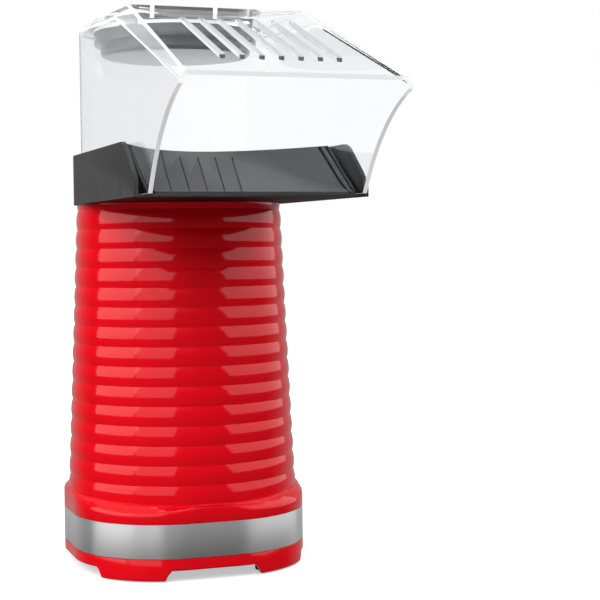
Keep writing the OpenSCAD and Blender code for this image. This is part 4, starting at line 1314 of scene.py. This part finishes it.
class POPPER_OT_fittings(bpy.types.Operator):
    """Rounds the edges of the switch, gland, feet and bottom plate"""

    bl_idname = "popper.fittings"
    bl_label = "Switch, gland and feet"

    def execute(self, context):
        for node, name, body, slot_name, maker, width in FITTINGS:
            place_piece(softened_copy(node, width), name, body, [maker()], [node])
        return {"FINISHED"}


class POPPER_OT_inner(bpy.types.Operator):
    """Gives the heater, fan and motor pieces their finishes"""

    bl_idname = "popper.inner"
    bl_label = "Inner finishes"

    def execute(self, context):
        for maker, nodes in INNER_FINISHES:
            for node in nodes:
                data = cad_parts[node].data
                set_materials(data, [maker()])
                data.polygons.foreach_set("use_smooth", [False] * len(data.polygons))
        return {"FINISHED"}


# ---------------------------------------------------------------- stage

CAMERA_PLACE = AXIS + Vector((-0.2324, -0.8774, 0.1898))
CAMERA_TURN, CAMERA_DIP, CAMERA_ROLL = radians(19.38), radians(2.258), radians(-0.6251)
CAMERA_LENS, SENSOR = 90.5, 36
AIM_HEIGHT = 0.15
TABLE_HALF = 6
WORLD_LIGHT = 0.16
WHITE = (1, 1, 1, 1)
# Name, turn and rise in degrees, distance, width and height, radiance, and the rays that don't meet it.
LIGHTS = (
    ("left_softbox", -88, 19, 1.59, 1.52, 1.33, 1.25, "diffuse"),
    ("left_wing", -42, 19, 1.59, 1.19, 1.33, 0.8, "diffuse"),
    ("right_softbox", 75, 19, 1.59, 2.8, 1.33, 0.85, "diffuse"),
    ("key_softbox", -22, 37, 1.5, 1.1, 1.0, 3.2, "glossy"),
    ("top_softbox", -10, 80, 1.4, 0.8, 0.8, 1.0, None),
    ("left_fill", -80, 30, 1.5, 1.2, 1.0, 4.4, "glossy"),
    ("right_fill", 80, 30, 1.5, 1.2, 1.0, 3.3, "glossy"))


def camera_axes():
    """Right, up and forward of the camera."""
    forward = Vector((sin(CAMERA_TURN) * cos(CAMERA_DIP), cos(CAMERA_TURN) * cos(CAMERA_DIP),
                      -sin(CAMERA_DIP)))
    right = forward.cross(Vector((0, 0, 1))).normalized()
    up = right.cross(forward).normalized()
    c, s = cos(CAMERA_ROLL), sin(CAMERA_ROLL)
    return right * c + up * s, up * c - right * s, forward


def place_camera():
    """Camera at the viewing angle."""
    data = bpy.data.cameras.new("camera")
    data.lens = CAMERA_LENS
    data.sensor_width = SENSOR
    data.clip_end = 50
    right, up, forward = camera_axes()
    camera = new_object("camera", data)
    camera.matrix_world = (Matrix.Translation(CAMERA_PLACE)
                           @ Matrix((right, up, -forward)).transposed().to_4x4())
    bpy.context.scene.camera = camera


def place_light(name, turn, rise, distance, width, height, radiance, unseen):
    """Rectangular light aimed at the object; it turns from the front towards +X."""
    aim = AXIS + Vector((0, 0, AIM_HEIGHT))
    a, e = radians(turn), radians(rise)
    data = bpy.data.lights.new(name, "AREA")
    data.shape = "RECTANGLE"
    data.size, data.size_y = width, height
    data.energy = radiance * pi * width * height
    lamp = new_object(name, data)
    lamp.location = aim + distance * Vector((sin(a) * cos(e), -cos(a) * cos(e), sin(e)))
    lamp.rotation_euler = (aim - lamp.location).to_track_quat("-Z", "Y").to_euler()
    if unseen:
        setattr(lamp, "visible_" + unseen, False)


def make_world():
    """White to the eye and through glass, a pale panel and ceiling in reflections, dim for its light."""
    world = bpy.data.worlds.new("studio")
    bpy.context.scene.world = world
    world.use_nodes = True
    tree = world.node_tree
    tree.nodes.clear()
    path = add(tree, "ShaderNodeLightPath").outputs
    place = add(tree, "ShaderNodeTexCoord").outputs["Generated"]
    facing = add(tree, "ShaderNodeVectorMath", {0: place, 1: (sin(CAMERA_TURN), cos(CAMERA_TURN), 0)},
                 operation="DOT_PRODUCT").outputs["Value"]
    panel = ranged(tree, facing, 0.2, 1.0, 0.02, 0.36)
    ceiling = ranged(tree, parted(tree, place)["Z"], 0.55, 0.78, 0.0, 0.4)
    mirrored = math(tree, "SUBTRACT", math(tree, "ADD", panel, ceiling), WORLD_LIGHT)
    dimmed = math(tree, "MULTIPLY_ADD", path["Is Glossy Ray"], mirrored, WORLD_LIGHT)
    seen = math(tree, "MAXIMUM", path["Is Camera Ray"], path["Is Transmission Ray"])
    back = add(tree, "ShaderNodeBackground", {"Color": WHITE,
                                              "Strength": math(tree, "MAXIMUM", seen, dimmed)})
    add(tree, "ShaderNodeOutputWorld", {0: back.outputs[0]})


def table_material():
    """Pale table that is white to the eye away from the object's shadow and absent in reflections."""
    material, tree, shader = new_material("white_table")
    path = add(tree, "ShaderNodeLightPath").outputs
    place = add(tree, "ShaderNodeTexCoord").outputs["Object"]
    far = add(tree, "ShaderNodeVectorMath", {0: place}, operation="LENGTH").outputs["Value"]
    glow = math(tree, "MULTIPLY", path["Is Camera Ray"], ranged(tree, far, 0.25, 0.8, 0.5, 1.2))
    tone = mixed(tree, path["Is Camera Ray"], (0.3, 0.3, 0.3, 1), (0.9, 0.9, 0.9, 1))
    feed(tree, shader, {"Roughness": 0.7, "Specular IOR Level": 0.1, "Base Color": tone,
                        "Emission Color": WHITE, "Emission Strength": glow})
    clear = add(tree, "ShaderNodeBsdfTransparent").outputs[0]
    surface = add(tree, "ShaderNodeMixShader", {0: path["Is Glossy Ray"], 1: shader.outputs[0], 2: clear})
    feed(tree, tree.nodes["Material Output"], {"Surface": surface.outputs[0]})
    return material


class POPPER_OT_stage(bpy.types.Operator):
    """Makes the table, the soft lights and the camera"""

    bl_idname = "popper.stage"
    bl_label = "Stage"

    def execute(self, context):
        corners = [(x * TABLE_HALF, y * TABLE_HALF, 0) for x, y in ((-1, -1), (1, -1), (1, 1), (-1, 1))]
        mesh = bpy.data.meshes.new("table")
        mesh.from_pydata(corners, [], [(0, 1, 2, 3)])
        mesh.materials.append(table_material())
        table = new_object("table", mesh)
        make_world()
        for light in LIGHTS:
            place_light(*light)
        place_camera()
        context.scene.view_settings.view_transform = "Standard"
        return {"FINISHED"}


# ---------------------------------------------------------------- add-on

OPERATORS = (POPPER_OT_stage, POPPER_OT_plinth, POPPER_OT_band, POPPER_OT_body, POPPER_OT_collar,
             POPPER_OT_hood, POPPER_OT_cup, POPPER_OT_screws, POPPER_OT_fittings, POPPER_OT_inner)
GROUPS = {"popper_plinth": PlinthSizes, "popper_body": BodySizes, "popper_hood": HoodSizes,
          "popper_cup": CupSizes, "popper_finishes": Finishes}


class POPPER_PT_panel(bpy.types.Panel):
    """Lists the sizes, the colours and the pieces"""

    bl_idname = "POPPER_PT_panel"
    bl_label = "Popcorn Maker"
    bl_space_type = "VIEW_3D"
    bl_region_type = "UI"
    bl_category = "Popcorn Maker"

    def draw(self, context):
        for name, group in GROUPS.items():
            box = self.layout.box()
            box.label(text=group.__doc__)
            for key in group.__annotations__:
                box.prop(getattr(context.scene, name), key)
        for operator in OPERATORS:
            self.layout.operator(operator.bl_idname)


CLASSES = (*GROUPS.values(), *OPERATORS, POPPER_PT_panel)


def register():
    """Registers the classes and hangs the sizes on the scene."""
    for cls in CLASSES:
        bpy.utils.register_class(cls)
    for name, group in GROUPS.items():
        setattr(bpy.types.Scene, name, PointerProperty(type=group))


def unregister():
    """Undoes register."""
    for name in GROUPS:
        delattr(bpy.types.Scene, name)
    for cls in reversed(CLASSES):
        bpy.utils.unregister_class(cls)


def main():
    """Builds everything."""
    register()
    bpy.ops.popper.stage()
    bpy.ops.popper.plinth()
    bpy.ops.popper.band()
    bpy.ops.popper.body()
    bpy.ops.popper.collar()
    bpy.ops.popper.hood()
    bpy.ops.popper.cup()
    bpy.ops.popper.screws()
    bpy.ops.popper.fittings()
    bpy.ops.popper.inner()


if __name__ == "__main__":
    main()
